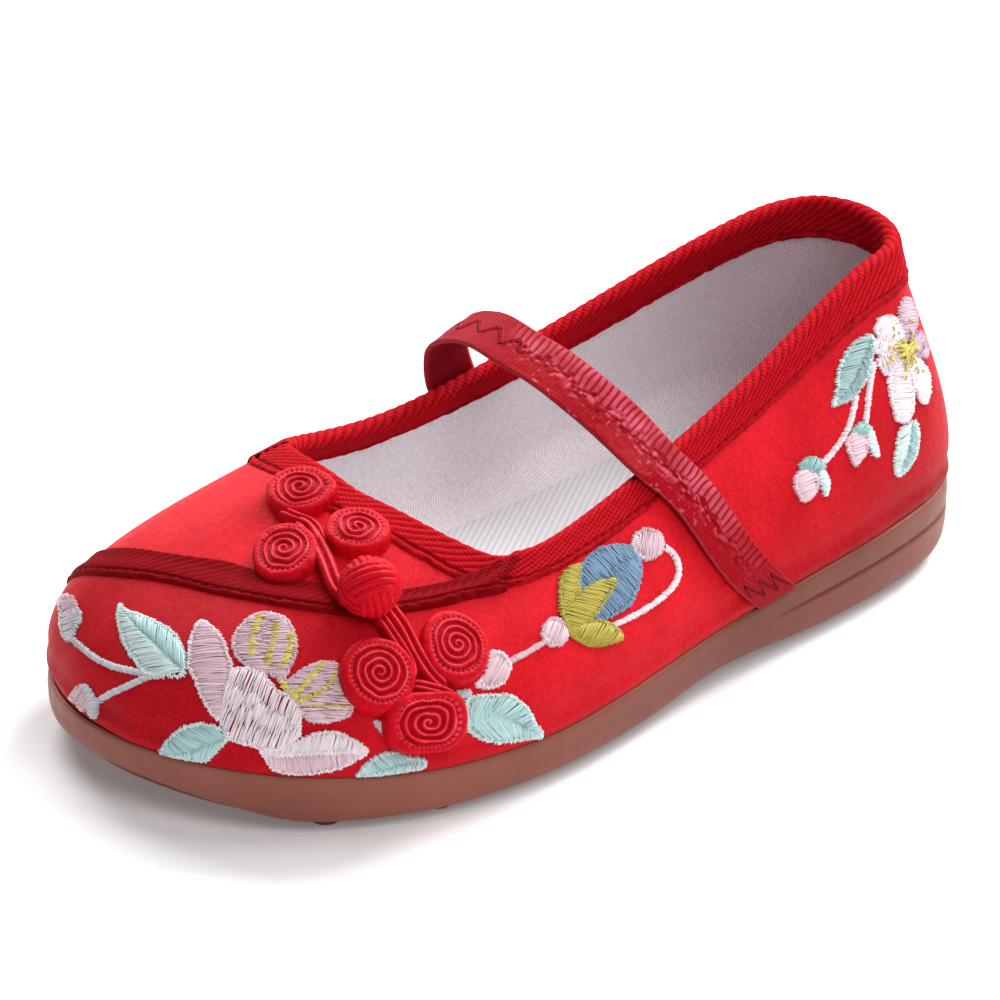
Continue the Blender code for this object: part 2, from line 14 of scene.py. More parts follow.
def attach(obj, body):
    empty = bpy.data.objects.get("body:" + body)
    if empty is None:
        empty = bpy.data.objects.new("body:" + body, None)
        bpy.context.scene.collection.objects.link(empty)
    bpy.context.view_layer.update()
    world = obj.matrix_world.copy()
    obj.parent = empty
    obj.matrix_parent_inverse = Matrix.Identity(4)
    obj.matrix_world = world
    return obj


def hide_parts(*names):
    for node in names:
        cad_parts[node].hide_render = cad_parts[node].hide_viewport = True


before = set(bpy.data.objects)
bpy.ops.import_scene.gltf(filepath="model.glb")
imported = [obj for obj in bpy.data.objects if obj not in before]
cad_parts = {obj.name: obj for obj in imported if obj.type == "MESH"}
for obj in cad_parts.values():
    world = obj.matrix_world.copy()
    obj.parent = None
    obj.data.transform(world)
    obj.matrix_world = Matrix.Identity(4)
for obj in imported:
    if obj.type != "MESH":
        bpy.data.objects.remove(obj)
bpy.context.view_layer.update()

MM = 0.001
SHIFT = np.array([0.835600, 0.008652, 0.0])     # from the last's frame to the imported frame
rng = np.random.default_rng(11)

# ------------------------------------------------------------------ the last
LENGTH = 180.0
BALL_WIDTH = 74.2
INSTEP_HEIGHT = 38.8
HEEL_HEIGHT = 55.0
WALL = 2.0
GAP = 0.3
SOCK_THICK = 2.0

SECTION_COLUMNS = ("along", "wide", "rim_along", "rim_wide", "rim_rise",
                   "flare", "flare_reach", "fall", "fall_reach")
SECTIONS = np.array((
    (0.004,  0.008, 0.031, -0.005,  1.000,  6.0, 14.0,  8.0, 12.0),   # heel back
    (0.030,  0.256, 0.061,  0.143,  0.988,  7.3, 14.0, 12.0, 11.5),
    (0.133,  0.377, 0.125,  0.193,  0.975,  9.0, 14.0, 14.0, 12.0),
    (0.444,  0.439, 0.347,  0.270,  0.333, 11.0, 11.0, 22.0, 11.0),   # outer waist
    (0.678,  0.501, 0.583,  0.326, -0.222, 13.0, 10.6, 54.6, 13.3),
    (0.867,  0.416, 0.696,  0.283, -0.284, 16.0, 12.0, 67.0, 21.8),
    (0.959,  0.239, 0.727,  0.121, -0.025, 15.0, 12.8, 78.0, 26.5),
    (0.996, -0.054, 0.733,  0.000,  0.035, 15.0, 11.8, 78.0, 27.0),   # toe tip
    (0.951, -0.344, 0.728, -0.125,  0.090, 18.0, 13.5, 79.0, 27.0),
    (0.861, -0.504, 0.699, -0.283,  0.000, 19.0, 12.3, 66.5, 22.2),
    (0.700, -0.499, 0.586, -0.326, -0.160, 12.0, 10.7, 54.5, 13.3),
    (0.444, -0.377, 0.346, -0.272,  0.309, 11.0, 11.0, 22.0, 11.0),   # inner waist
    (0.133, -0.340, 0.126, -0.193,  0.951,  9.0, 14.0, 14.0, 12.0),
    (0.032, -0.249, 0.057, -0.147,  1.006,  7.2, 14.0, 11.7, 11.6),
))

# along, seat, tread
SOLE = np.array((
    (0.000, 13.70, 3.0), (0.080, 13.70, 1.6), (0.270, 12.40, 1.6),
    (0.440, 10.50, 3.0), (0.570,  9.30, 1.6), (0.690,  8.50, 1.6),
    (0.790,  8.75, 1.6), (0.920, 10.40, 1.8), (1.000, 11.80, 5.8),
))
# out from the feather line, drop from seat to tread, groove of the heel band
SIDE = np.array((
    (-0.25, 0.00, 0.0), (0.08, 0.015, 0.0), (0.30, 0.07, 0.0), (0.42, 0.18, 0.0),
    (0.45, 0.30, 0.0), (0.45, 0.345, 0.05), (0.45, 0.375, 0.75), (0.45, 0.395, 0.8),
    (0.47, 0.425, 0.3), (0.50, 0.46, 0.0), (0.50, 0.60, 0.0), (0.40, 0.74, 0.0),
    (0.18, 0.84, 0.0), (-0.20, 0.92, 0.0), (-0.80, 0.975, 0.0), (-1.60, 1.0, 0.0),
))
HEEL_BAND_END = (0.28, 0.40)
NUB_FIELDS = ((0.050, 0.265, 7.0), (0.560, 0.793, 5.6), (0.839, 0.885, 7.4))
NUB_PITCH = 8.2

STRAP_WIDTH, STRAP_THICK = 10.3, 1.0
STRAP_TILT = 0.27
STRAP_LIP_ALONG, STRAP_END_ALONG = 0.480, 0.364
STRAP_ARCH = ((14.8, 0.8, 41.2), (6.2, 0.0, 45.2), (-1.2, 0.0, 47.4), (-8.2, 0.0, 48.6),
              (-14.6, 0.4, 49.4), (-20.2, 0.6, 48.2), (-23.7, 1.2, 45.6), (-24.6, 1.8, 42.2))

# where it is seen, width, height, turn, start angle, oval and where, corner and where, lean
FROG_LOOP = ((299, 484, 10.5, 2.7, 1, 0.3, 0.02, 0.15, 0.06, 0.1, 0.02),
             (284, 546, 11.0, 2.7, 1, 1.6, 0.08, 1.57, 0.00, 0.0, 0.15),
             (357, 524, 10.1, 2.7, -1, 2.4, 0.03, 0.8, 0.06, 2.3, 0.0))
FROG_TAIL = ((380, 672, 11.8, 2.7, 1, 0.0, 0.02, 1.0, 0.00, 0.0, 0.0),
             (457, 644, 11.4, 2.7, -1, 1.2, 0.07, 1.57, 0.05, -2.2, 0.0),
             (429, 723, 11.5, 2.7, 1, 2.0, 0.20, 0.05, 0.13, 0.65, 0.0))
KNOT = (369, 587, 9.6, 0.4)


def unit(v):
    return v / np.linalg.norm(v, axis=-1, keepdims=True)


def step(low, high, x):
    """0 below low, 1 above high, smooth between."""
    t = np.clip((np.asarray(x, float) - low) / (high - low), 0.0, 1.0)
    return t * t * (3 - 2 * t)


def smooth(xs, ys, x):
    """Curve through (xs, ys) that never overshoots, at x."""
    x = np.clip(np.asarray(x, float), xs[0], xs[-1])
    h, d = np.diff(xs), np.diff(ys) / np.diff(xs)
    m = np.zeros(len(xs))
    m[0], m[-1] = d[0], d[-1]
    same = d[:-1] * d[1:] > 0
    w1, w2 = 2 * h[1:] + h[:-1], h[1:] + 2 * h[:-1]
    inner = np.zeros(len(d) - 1)
    inner[same] = ((w1 + w2)[same]
                   / (w1[same] / d[:-1][same] + w2[same] / d[1:][same]))
    m[1:-1] = inner
    k = np.clip(np.searchsorted(xs, x, side="right") - 1, 0, len(h) - 1)
    t = (x - xs[k]) / h[k]
    return ((2 * t**3 - 3 * t**2 + 1) * ys[k] + (t**3 - 2 * t**2 + t) * h[k] * m[k]
            + (-2 * t**3 + 3 * t**2) * ys[k + 1] + (t**3 - t**2) * h[k] * m[k + 1])


def natural_spline(t, y, q):
    """Cubic spline through (t, y) with free ends, at q."""
    n, h = len(t), np.diff(t)
    a, b = np.zeros((n, n)), np.zeros(n)
    a[0, 0] = a[-1, -1] = 1.0
    for i in range(1, n - 1):
        a[i, i - 1], a[i, i], a[i, i + 1] = h[i - 1], 2 * (h[i - 1] + h[i]), h[i]
        b[i] = 6 * ((y[i + 1] - y[i]) / h[i] - (y[i] - y[i - 1]) / h[i - 1])
    m = np.linalg.solve(a, b)
    k = np.clip(np.searchsorted(t, q, side="right") - 1, 0, n - 2)
    l, r = t[k + 1] - q, q - t[k]
    return ((m[k] * l**3 + m[k + 1] * r**3) / (6 * h[k])
            + (y[k] / h[k] - m[k] * h[k] / 6) * l
            + (y[k + 1] / h[k] - m[k + 1] * h[k] / 6) * r)


def ring_knots():
    p = np.stack([SECTIONS[:, 0] * LENGTH, SECTIONS[:, 1] * BALL_WIDTH], 1)
    gap = np.linalg.norm(np.roll(p, -1, 0) - p, axis=1) ** 0.7
    return np.append(0.0, np.cumsum(gap)[:-1]) / gap.sum()


KNOTS = ring_knots()
SPANS = np.diff(np.append(KNOTS, 1.0))


def ring_slopes(values):
    n, h = len(KNOTS), SPANS
    d = (np.roll(values, -1) - values) / h
    a, b = np.zeros((n, n)), np.zeros(n)
    for i in range(n):
        a[i, i - 1] += h[i]
        a[i, i] += 2 * (h[i - 1] + h[i])
        a[i, (i + 1) % n] += h[i - 1]
        b[i] = 3 * (h[i] * d[i - 1] + h[i - 1] * d[i])
    return np.linalg.solve(a, b)


CURVES = {name: (SECTIONS[:, k], ring_slopes(SECTIONS[:, k]))
          for k, name in enumerate(SECTION_COLUMNS)}


def around(name, u):
    """A section value at u round the foot (0 heel back, outer side, toe, inner side)."""
    y, m = CURVES[name]
    q = np.mod(np.asarray(u, float), 1.0)
    k = np.clip(np.searchsorted(KNOTS, q, side="right") - 1, 0, len(KNOTS) - 1)
    j = (k + 1) % len(KNOTS)
    x, h = (q - KNOTS[k]) / SPANS[k], SPANS[k]
    return ((2 * x**3 - 3 * x**2 + 1) * y[k] + (x**3 - 2 * x**2 + x) * h * m[k]
            + (-2 * x**3 + 3 * x**2) * y[j] + (x**3 - x**2) * h * m[j])


def seat(s):
    return smooth(SOLE[:, 0] * LENGTH, SOLE[:, 1], s)


def tread(s):
    return smooth(SOLE[:, 0] * LENGTH, SOLE[:, 2], s)


def feather(u):
    """Line where the upper meets the sole."""
    s = around("along", u) * LENGTH
    return np.stack([around("wide", u) * BALL_WIDTH, LENGTH / 2 - s, seat(s) + GAP], -1)


# The cloth ends a little below the edge of the last, to leave room for the binding
EDGE_DROP = np.array(((0.0, 0.3), (0.03, 0.5), (0.06, 1.5), (0.10, 2.2), (0.20, 2.2),
                      (0.28, 1.6), (0.33, 1.35), (0.372, 1.5), (0.41, 0.9), (0.45, 0.9),
                      (0.50, 0.6), (0.56, 0.15), (0.612, 0.2), (0.66, 0.5), (0.72, 1.05),
                      (0.85, 1.1), (0.93, 0.85), (0.97, 0.4), (1.0, 0.3)))


def collar(u):
    """Edge of the opening."""
    turn = np.abs(np.mod(np.asarray(u, float) + 0.5, 1.0) - 0.5)
    s = around("rim_along", u) * LENGTH + 1.3 * np.exp(-(turn / 0.06) ** 2)
    z = INSTEP_HEIGHT + around("rim_rise", u) * (HEEL_HEIGHT - INSTEP_HEIGHT)
    z = z - smooth(EDGE_DROP[:, 0], EDGE_DROP[:, 1], np.mod(u, 1.0))
    return np.stack([around("rim_wide", u) * BALL_WIDTH, LENGTH / 2 - s, z], -1)


def wall(u, v):
    """Outer face of the upper: u round the foot, v from the sole up to the collar."""
    u, v = np.broadcast_arrays(np.asarray(u, float), np.asarray(v, float))
    f, c = feather(u), collar(u)
    inward = unit((c - f) * np.array([1.0, 1.0, 0.0]))
    up = np.array([0.0, 0.0, 1.0])
    flare, fall = np.radians(around("flare", u)), np.radians(around("fall", u))
    low = around("flare_reach", u)[..., None] * (
        np.cos(flare)[..., None] * up - np.sin(flare)[..., None] * inward)
    top = around("fall_reach", u)[..., None] * (
        np.cos(fall)[..., None] * up + np.sin(fall)[..., None] * inward)
    v = v[..., None]
    w = 1.0 - v
    return w**3 * f + 3 * w * w * v * (f + low) + 3 * w * v * v * (c - top) + v**3 * c


def wall_normal(u, v):
    """Outward direction of the upper's outer face."""
    e = 1e-4
    u, v = np.broadcast_arrays(np.asarray(u, float), np.asarray(v, float))
    du = wall(u + e, v) - wall(u - e, v)
    dv = wall(u, np.minimum(v + e, 1.0)) - wall(u, np.maximum(v - e, 0.0))
    return unit(np.cross(dv, du))


def feather_normal(u):
    e = 1e-4
    d = feather(u + e) - feather(u - e)
    return unit(np.stack([-d[..., 1], d[..., 0], np.zeros_like(d[..., 0])], -1))


def branch(s, side):
    """Place round the foot of the feather line at s from the heel back."""
    u = np.linspace(-0.1, 1.1, 6001)
    a = around("along", u) * LENGTH
    body = (u > -0.05) & (u < 0.95)
    toe = u[body][np.argmax(a[body])]
    low = (u > -0.05) & (u < 0.05)
    heel = u[low][np.argmin(a[low])]
    if side == "out":
        pick = (u >= heel) & (u <= toe)
        return np.interp(s, a[pick], u[pick])
    pick = (u >= toe) & (u <= heel + 1.0)
    return np.interp(-np.asarray(s, float), -a[pick], u[pick])


def collar_branch(s, side):
    u = np.linspace(0.12, 0.36, 2001) if side == "out" else np.linspace(0.64, 0.88, 2001)
    a = around("rim_along", u) * LENGTH
    order = np.argsort(a)
    return float(np.interp(s, a[order], u[order]))


# ---------------------------------------------------------------- the viewpoint
AZIMUTH, ELEVATION, ROLL = (math.radians(x) for x in (41.29, 23.04, 2.54))
DISTANCE, FOCAL = 843.3, 5223.4         # mm, and pixels of a 1000 pixel frame
TARGET = np.array([-6.67, 0.0, 23.42])
BACK = np.array([math.sin(AZIMUTH) * math.cos(ELEVATION),
                 -math.cos(AZIMUTH) * math.cos(ELEVATION), math.sin(ELEVATION)])
LEVEL = unit(np.cross((0.0, 0.0, 1.0), BACK))
RISE = np.cross(BACK, LEVEL)
RIGHT = math.cos(ROLL) * LEVEL + math.sin(ROLL) * RISE
UP = -math.sin(ROLL) * LEVEL + math.cos(ROLL) * RISE
EYE = TARGET + DISTANCE * BACK


def project(p):
    q = p - TARGET
    depth = DISTANCE - q @ BACK
    return np.stack([500 + FOCAL * (q @ RIGHT) / depth, 500 - FOCAL * (q @ UP) / depth], -1)


def seeds():
    u, v = np.meshgrid(np.arange(720) / 720, np.linspace(0, 1, 61), indexing="ij")
    u, v = u.ravel(), v.ravel()
    p, n = wall(u, v), wall_normal(u, v)
    front = ((EYE - p) * n).sum(1) / np.linalg.norm(EYE - p, axis=1) > 0.03
    u, v, p, n = u[front], v[front], p[front], n[front]
    tree = KDTree(len(u))
    for i, (x, y) in enumerate(project(p)):
        tree.insert((x, y, 0.0), i)
    tree.balance()
    return tree, u, v, n


SEED_TREE, SEED_U, SEED_V, SEED_N = seeds()


def place(points, lift=0.0):
    """Places (u, v) on the upper that are seen at the given frame positions."""
    points = np.asarray(points, float).reshape(-1, 2)
    near = np.array([SEED_TREE.find((x, y, 0.0))[1] for x, y in points])
    u, v, n = SEED_U[near].copy(), SEED_V[near].copy(), SEED_N[near]
    h = 1e-4
    for _ in range(7):
        q = project(wall(u, v) + lift * n)
        e = points - q
        a = (project(wall(u + h, v) + lift * n) - q) / h
        b = (project(wall(u, v + h) + lift * n) - q) / h
        det = a[:, 0] * b[:, 1] - a[:, 1] * b[:, 0]
        det = np.where(np.abs(det) < 1e-6, 1e-6, det)
        u = u + np.clip((e[:, 0] * b[:, 1] - e[:, 1] * b[:, 0]) / det, -0.02, 0.02)
        v = np.clip(v + np.clip((a[:, 0] * e[:, 1] - a[:, 1] * e[:, 0]) / det, -0.08, 0.08),
                    0.0, 1.0)
    p = wall(u, v)
    err = np.linalg.norm(points - project(p + lift * n), axis=1)
    face = ((EYE - p) * wall_normal(u, v)).sum(1) / DISTANCE
    return u, v, (err < 1.5) & (face > 0.02)


# ------------------------------------------------- edges of panels and bindings
NEAR_CORNER = float(np.linspace(0.25, 0.45, 801)[
    np.argmax(project(collar(np.linspace(0.25, 0.45, 801)))[:, 1])])
FAR_CORNER = 0.612

# Diagonal binding of the overlapping panel, from the outer throat corner to the
# inner side of the toe: upper and lower edge
DIAG_UPPER = ((494, 562), (470, 573), (445, 582), (400, 590), (355, 589), (300, 580),
              (255, 570), (230, 562), (200, 558), (165, 553.5), (130, 549), (108, 550.5))
DIAG_LOWER = ((507, 592), (480, 600), (450, 607), (400, 616), (355, 620), (300, 613),
              (260, 606), (220, 598), (180, 588), (140, 581), (100, 577), (80, 577.5))


def diagonal():
    out = []
    for edge in (DIAG_UPPER, DIAG_LOWER):
        u, v, ok = place(edge)
        out.append(np.stack([u[ok], v[ok]], 1))
    up, low = out
    # past the toe's outline both edges run on down the inner side to the sole
    up = np.vstack([up, up[-1] + (0.020, -0.075), up[-1] + (0.042, -0.20),
                    up[-1] + (0.060, -0.36), (up[-1][0] + 0.073, 0.02)])
    low = np.vstack([low, low[-1] + (0.018, -0.085), low[-1] + (0.036, -0.20),
                     low[-1] + (0.050, -0.34), (low[-1][0] + 0.058, 0.02)])
    return up, low


DIAG_U, DIAG_L = diagonal()
_mid_u = np.append(NEAR_CORNER - 0.004, (DIAG_U[:, 0] + DIAG_L[:, 0]) / 2)
_mid_v = np.append(0.97, (DIAG_U[:, 1] + DIAG_L[:, 1]) / 2)
_order = np.argsort(_mid_u)
MID_U, MID_V = _mid_u[_order], _mid_v[_order]

# Soft troughs (negative) and ridges (positive): two ends, width and depth in mm
CREASES = (
    ((60, 650), (98, 712), 5.5, -0.45),
    ((104, 690), (150, 742), 6.0, -0.30),
    ((120, 700), (210, 700), 7.0, 0.22),
    ((95, 592), (112, 660), 6.0, -0.18),
    ((225, 505), (262, 548), 5.0, -0.22),
    ((180, 540), (250, 480), 7.0, 0.15),
    ((640, 600), (720, 530), 6.0, -0.14),
    ((700, 610), (745, 560), 4.0, -0.16),
    ((800, 545), (905, 470), 7.0, -0.22),
    ((790, 500), (860, 430), 8.0, 0.18),
    ((905, 500), (938, 470), 5.0, -0.22),
    ((560, 690), (640, 640), 6.0, -0.14),
)


def crease_lines():
    out = []
    for a, b, width, depth in CREASES:
        u, v, ok = place((a, b))
        p = wall(u, v)
        out.append((p[0], p[1], width, depth))
    return out


CREASE_LINES = crease_lines()
OVERLAP = 0.40


def panel(u, v):
    """How much of the overlapping outer panel there is, and its depth below the edge."""
    q = np.mod(u, 1.0)
    edge = np.interp(q, MID_U, MID_V, left=1.2, right=-0.2)
    under = step(-0.03, 0.03, edge - v)
    side = step(MID_U[0] - 0.09, MID_U[0], q)
    toe = 1.0 - 0.40 * step(0.46, 0.53, q)
    much = np.where(q < MID_U[0], side, np.where(q > MID_U[-1], 0.0, under)) * toe
    return much, np.clip(np.minimum(edge, 1.0) - v, 0.0, None) * 50.0


def relief(u, v, p):
    """How far the satin stands out from the last, in mm."""
    d = np.linalg.norm(p - feather(u), axis=-1)
    much, below = panel(u, v)
    h = much * (OVERLAP + 0.40 * np.exp(-below / 7.0))
    q = np.mod(u, 1.0)
    h = h - 0.55 * np.exp(-((q - 0.55) / 0.035) ** 2) * (1 - step(0.15, 0.55, v))
    h = h + 0.30 * np.exp(-((d - 1.3) / 1.0) ** 2) - 0.20 * np.exp(-((d - 3.6) / 1.2) ** 2)
    wave = np.sin(u * 2 * np.pi * 23) + 0.7 * np.sin(u * 2 * np.pi * 41 + 1.3)
    h = h + 0.045 * wave * np.exp(-((d - 3.0) / 3.0) ** 2)
    for a, b, width, depth in CREASE_LINES:
        t = np.clip(((p - a) @ (b - a)) / ((b - a) @ (b - a)), 0, 1)
        r = np.linalg.norm(p - (a + t[..., None] * (b - a)), axis=-1)
        h = h + depth * np.exp(-(r / width) ** 2)
    return h


def skin(u, v, lift=0.0):
    """Point on the satin and its outward direction."""
    p, n = wall(u, v), wall_normal(u, v)
    return p + (relief(u, v, p) + lift)[..., None] * n, n


# --------------------------------------------------------------------- meshes
def metres(p):
    return (np.asarray(p, float) + SHIFT) * MM


def grid(n, m, wrap_n=False, wrap_m=False, start=0):
    """Quads of an n by m grid of vertices, row by row."""
    i, j = np.meshgrid(np.arange(n if wrap_n else n - 1),
                       np.arange(m if wrap_m else m - 1), indexing="ij")
    k, l = (i + 1) % n, (j + 1) % m
    return (np.stack([i * m + j, k * m + j, k * m + l, i * m + l], -1).reshape(-1, 4)
            + start)


class Heap:
    """Vertices and faces of one piece, with a place on the cloth and a colour."""

    def __init__(self):
        self.p, self.q, self.t, self.uv, self.c, self.n = [], [], [], [], [], 0

    def add(self, p, quads=None, tris=None, uv=None, colour=None):
        p = np.asarray(p, float).reshape(-1, 3)
        if quads is not None and len(quads):
            self.q.append(np.asarray(quads, int).reshape(-1, 4) + self.n)
        if tris is not None and len(tris):
            self.t.append(np.asarray(tris, int).reshape(-1, 3) + self.n)
        self.uv.append(np.zeros((len(p), 2)) if uv is None else np.reshape(uv, (-1, 2)))
        c = np.ones((len(p), 3)) if colour is None else np.broadcast_to(colour, (len(p), 3))
        self.c.append(np.array(c, float))
        self.p.append(p)
        self.n += len(p)


def piece(name, heap, material, replaces=(), flip=False, sharp=None):
    """Mesh object from a heap, riding on the shoe."""
    p = metres(np.vstack(heap.p))
    quads = np.vstack(heap.q) if heap.q else np.zeros((0, 4), int)
    tris = np.vstack(heap.t) if heap.t else np.zeros((0, 3), int)
    if flip:
        quads, tris = quads[:, ::-1], tris[:, ::-1]
    mesh = bpy.data.meshes.new(name)
    mesh.vertices.add(len(p))
    mesh.vertices.foreach_set("co", p.astype(np.float32).ravel())
    loops = np.concatenate([quads.ravel(), tris.ravel()]).astype(np.int32)
    starts = np.concatenate([np.arange(len(quads)) * 4,
                             len(quads) * 4 + np.arange(len(tris)) * 3]).astype(np.int32)
    mesh.loops.add(len(loops))
    mesh.loops.foreach_set("vertex_index", loops)
    mesh.polygons.add(len(starts))
    mesh.polygons.foreach_set("loop_start", starts)
    mesh.update(calc_edges=True)
    mesh.validate()
    uv = np.vstack(heap.uv)
    layer = mesh.uv_layers.new(name="cloth")
    order = np.zeros(len(mesh.loops), np.int32)
    mesh.loops.foreach_get("vertex_index", order)
    layer.data.foreach_set("uv", uv[order].astype(np.float32).ravel())
    colour = np.vstack(heap.c)
    shade = mesh.color_attributes.new("tone", "FLOAT_COLOR", "POINT")
    shade.data.foreach_set("color", np.column_stack(
        [colour, np.ones(len(colour))]).astype(np.float32).ravel())
    mesh.shade_smooth()
    if sharp:
        mesh.set_sharp_from_angle(angle=math.radians(sharp))
    mesh.materials.append(material)
    obj = bpy.data.objects.new(name, mesh)
    bpy.context.scene.collection.objects.link(obj)
    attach(obj, "root")
    if replaces:
        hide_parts(*replaces)
    return obj


def tube(heap, path, normals, radius, sides=8, flat=1.0, closed=False, colour=None):
    """Round cord along path; flat squeezes it towards the cloth."""
    path, normals = np.asarray(path, float), np.asarray(normals, float)
    if closed:
        t = np.roll(path, -1, 0) - np.roll(path, 1, 0)
    else:
        t = np.gradient(path, axis=0)
    t = unit(t)
    s = unit(np.cross(t, normals))
    n = np.cross(s, t)
    radius = np.broadcast_to(np.asarray(radius, float), (len(path),))[:, None, None]
    a = 2 * np.pi * np.arange(sides) / sides
    ring = (np.cos(a)[None, :, None] * s[:, None] + flat * np.sin(a)[None, :, None] * n[:, None])
    p = path[:, None] + radius * ring
    faces = grid(len(path), sides, wrap_n=closed, wrap_m=True)
    base = p.reshape(-1, 3)
    if not closed:
        ends = np.stack([path[0], path[-1]])
        m = len(base)
        base = np.vstack([base, ends])
        last = (len(path) - 1) * sides
        i = np.arange(sides)
        tris = np.vstack([np.stack([i, (i + 1) % sides, np.full(sides, m)], 1),
                          np.stack([last + (i + 1) % sides, last + i,
                                    np.full(sides, m + 1)], 1)])
    else:
        tris = None
    heap.add(base, faces, tris, colour=colour)


def lattice(x, y, seed):
    """Smooth noise between -1 and 1."""
    table = np.random.default_rng(seed).uniform(-1, 1, (257, 257))
    x, y = np.mod(x, 256), np.mod(y, 256)
    i, j = np.floor(x).astype(int), np.floor(y).astype(int)
    f, g = x - i, y - j
    f, g = f * f * (3 - 2 * f), g * g * (3 - 2 * g)
    return ((table[i, j] * (1 - f) + table[i + 1, j] * f) * (1 - g)
            + (table[i, j + 1] * (1 - f) + table[i + 1, j + 1] * f) * g)


# ------------------------------------------------------------------- materials
def srgb(r, g, b):
    c = np.array([r, g, b], float) / 255
    return np.where(c <= 0.04045, c / 12.92, ((c + 0.055) / 1.055) ** 2.4)


def principled(name, colour, rough, **more):
    m = bpy.data.materials.new(name)
    m.use_nodes = True
    b = m.node_tree.nodes["Principled BSDF"]
    b.inputs["Base Color"].default_value = (*colour, 1.0)
    b.inputs["Roughness"].default_value = rough
    for key, value in more.items():
        b.inputs[key.replace("_", " ")].default_value = value
    return m, b


def node(m, kind, **settings):
    n = m.node_tree.nodes.new(kind)
    for key, value in settings.items():
        setattr(n, key, value)
    return n


def wire(m, a, b):
    m.node_tree.links.new(a, b)


def maths(m, operation, a, b=None):
    n = node(m, "ShaderNodeMath", operation=operation)
    for k, value in enumerate((a, b)):
        if value is None:
            continue
        if isinstance(value, (int, float)):
            n.inputs[k].default_value = value
        else:
            wire(m, value, n.inputs[k])
    return n.outputs[0]


def cloth_place(m):
    """Place on the cloth in mm: across and along."""
    uv = node(m, "ShaderNodeUVMap", uv_map="cloth")
    split = node(m, "ShaderNodeSeparateXYZ")
    wire(m, uv.outputs[0], split.inputs[0])
    return split.outputs[0], split.outputs[1]


def ripple(m, socket, period):
    return maths(m, "SINE", maths(m, "MULTIPLY", socket, 2 * math.pi / period))


def noise(m, scale, detail=2.0, rough=0.5):
    place_node = node(m, "ShaderNodeTexCoord")
    n = node(m, "ShaderNodeTexNoise")
    n.inputs["Scale"].default_value = scale
    n.inputs["Detail"].default_value = detail
    n.inputs["Roughness"].default_value = rough
    wire(m, place_node.outputs["Object"], n.inputs["Vector"])
    return n.outputs["Fac"] if "Fac" in n.outputs else n.outputs[0]


def bump(m, b, height, distance, strength=1.0, after=None):
    n = node(m, "ShaderNodeBump")
    n.inputs["Strength"].default_value = strength
    n.inputs["Distance"].default_value = distance
    wire(m, height, n.inputs["Height"])
    if after is not None:
        wire(m, after.outputs[0], n.inputs["Normal"])
    wire(m, n.outputs[0], b.inputs["Normal"])
    return n


def blend_colour(m, factor, a, b):
    n = node(m, "ShaderNodeMix", data_type="RGBA")
    wire(m, factor, n.inputs[0])
    for socket, value in ((n.inputs[6], a), (n.inputs[7], b)):
        if isinstance(value, (tuple, list, np.ndarray)):
            socket.default_value = (*value, 1.0)
        else:
            wire(m, value, socket)
    return n.outputs[2]


def spread(m, socket, low, high):
    """Stretch a 0 to 1 value so that low becomes 0 and high becomes 1."""
    n = node(m, "ShaderNodeMapRange")
    n.inputs["From Min"].default_value = low
    n.inputs["From Max"].default_value = high
    wire(m, socket, n.inputs["Value"])
    return n.outputs[0]


def satin_material():
    m, b = principled("satin", (0.56, 0.009, 0.017), 0.55, Specular_IOR_Level=0.07,
                      Specular_Tint=(1.0, 0.16, 0.20, 1.0))
    broad, fine = noise(m, 90.0, 4.0), noise(m, 1500.0, 2.0)
    tone = spread(m, maths(m, "ADD", broad, fine), 0.72, 1.28)
    shade = node(m, "ShaderNodeVertexColor", layer_name="tone")
    tint = node(m, "ShaderNodeMix", data_type="RGBA", blend_type="MULTIPLY")
    tint.inputs[0].default_value = 1.0
    wire(m, blend_colour(m, tone, (0.475, 0.0062, 0.0120), (0.655, 0.0120, 0.0220)),
         tint.inputs[6])
    wire(m, shade.outputs["Color"], tint.inputs[7])
    wire(m, tint.outputs[2], b.inputs["Base Color"])
    across, along = cloth_place(m)
    weave = maths(m, "MULTIPLY", ripple(m, across, 0.33), ripple(m, along, 0.33))
    first = bump(m, b, noise(m, 2600.0, 2.0, 0.6), 0.00006, 0.5)
    bump(m, b, weave, 0.00002, 0.35, after=first)
    wire(m, spread(m, noise(m, 900.0, 2.0), -1.4, 2.0), b.inputs["Roughness"])
    return m


def binding_material():
    m, b = principled("binding", (0.42, 0.006, 0.013), 0.65, Specular_IOR_Level=0.02,
                      Specular_Tint=(1.0, 0.18, 0.22, 1.0))
    shade = node(m, "ShaderNodeVertexColor", layer_name="tone")
    grain = spread(m, noise(m, 800.0, 3.0), 0.25, 0.75)
    tint = node(m, "ShaderNodeMix", data_type="RGBA", blend_type="MULTIPLY")
    tint.inputs[0].default_value = 1.0
    wire(m, blend_colour(m, grain, (0.40, 0.0042, 0.0095), (0.51, 0.0070, 0.0150)), tint.inputs[6])
    wire(m, shade.outputs["Color"], tint.inputs[7])
    wire(m, tint.outputs[2], b.inputs["Base Color"])
    across, along = cloth_place(m)
    beads = ripple(m, maths(m, "ADD", along, maths(m, "MULTIPLY", across, 0.33)), 0.62)
    first = bump(m, b, beads, 0.00006, 0.45)
    bump(m, b, noise(m, 3200.0, 2.0), 0.00008, 0.5, after=first)
    return m


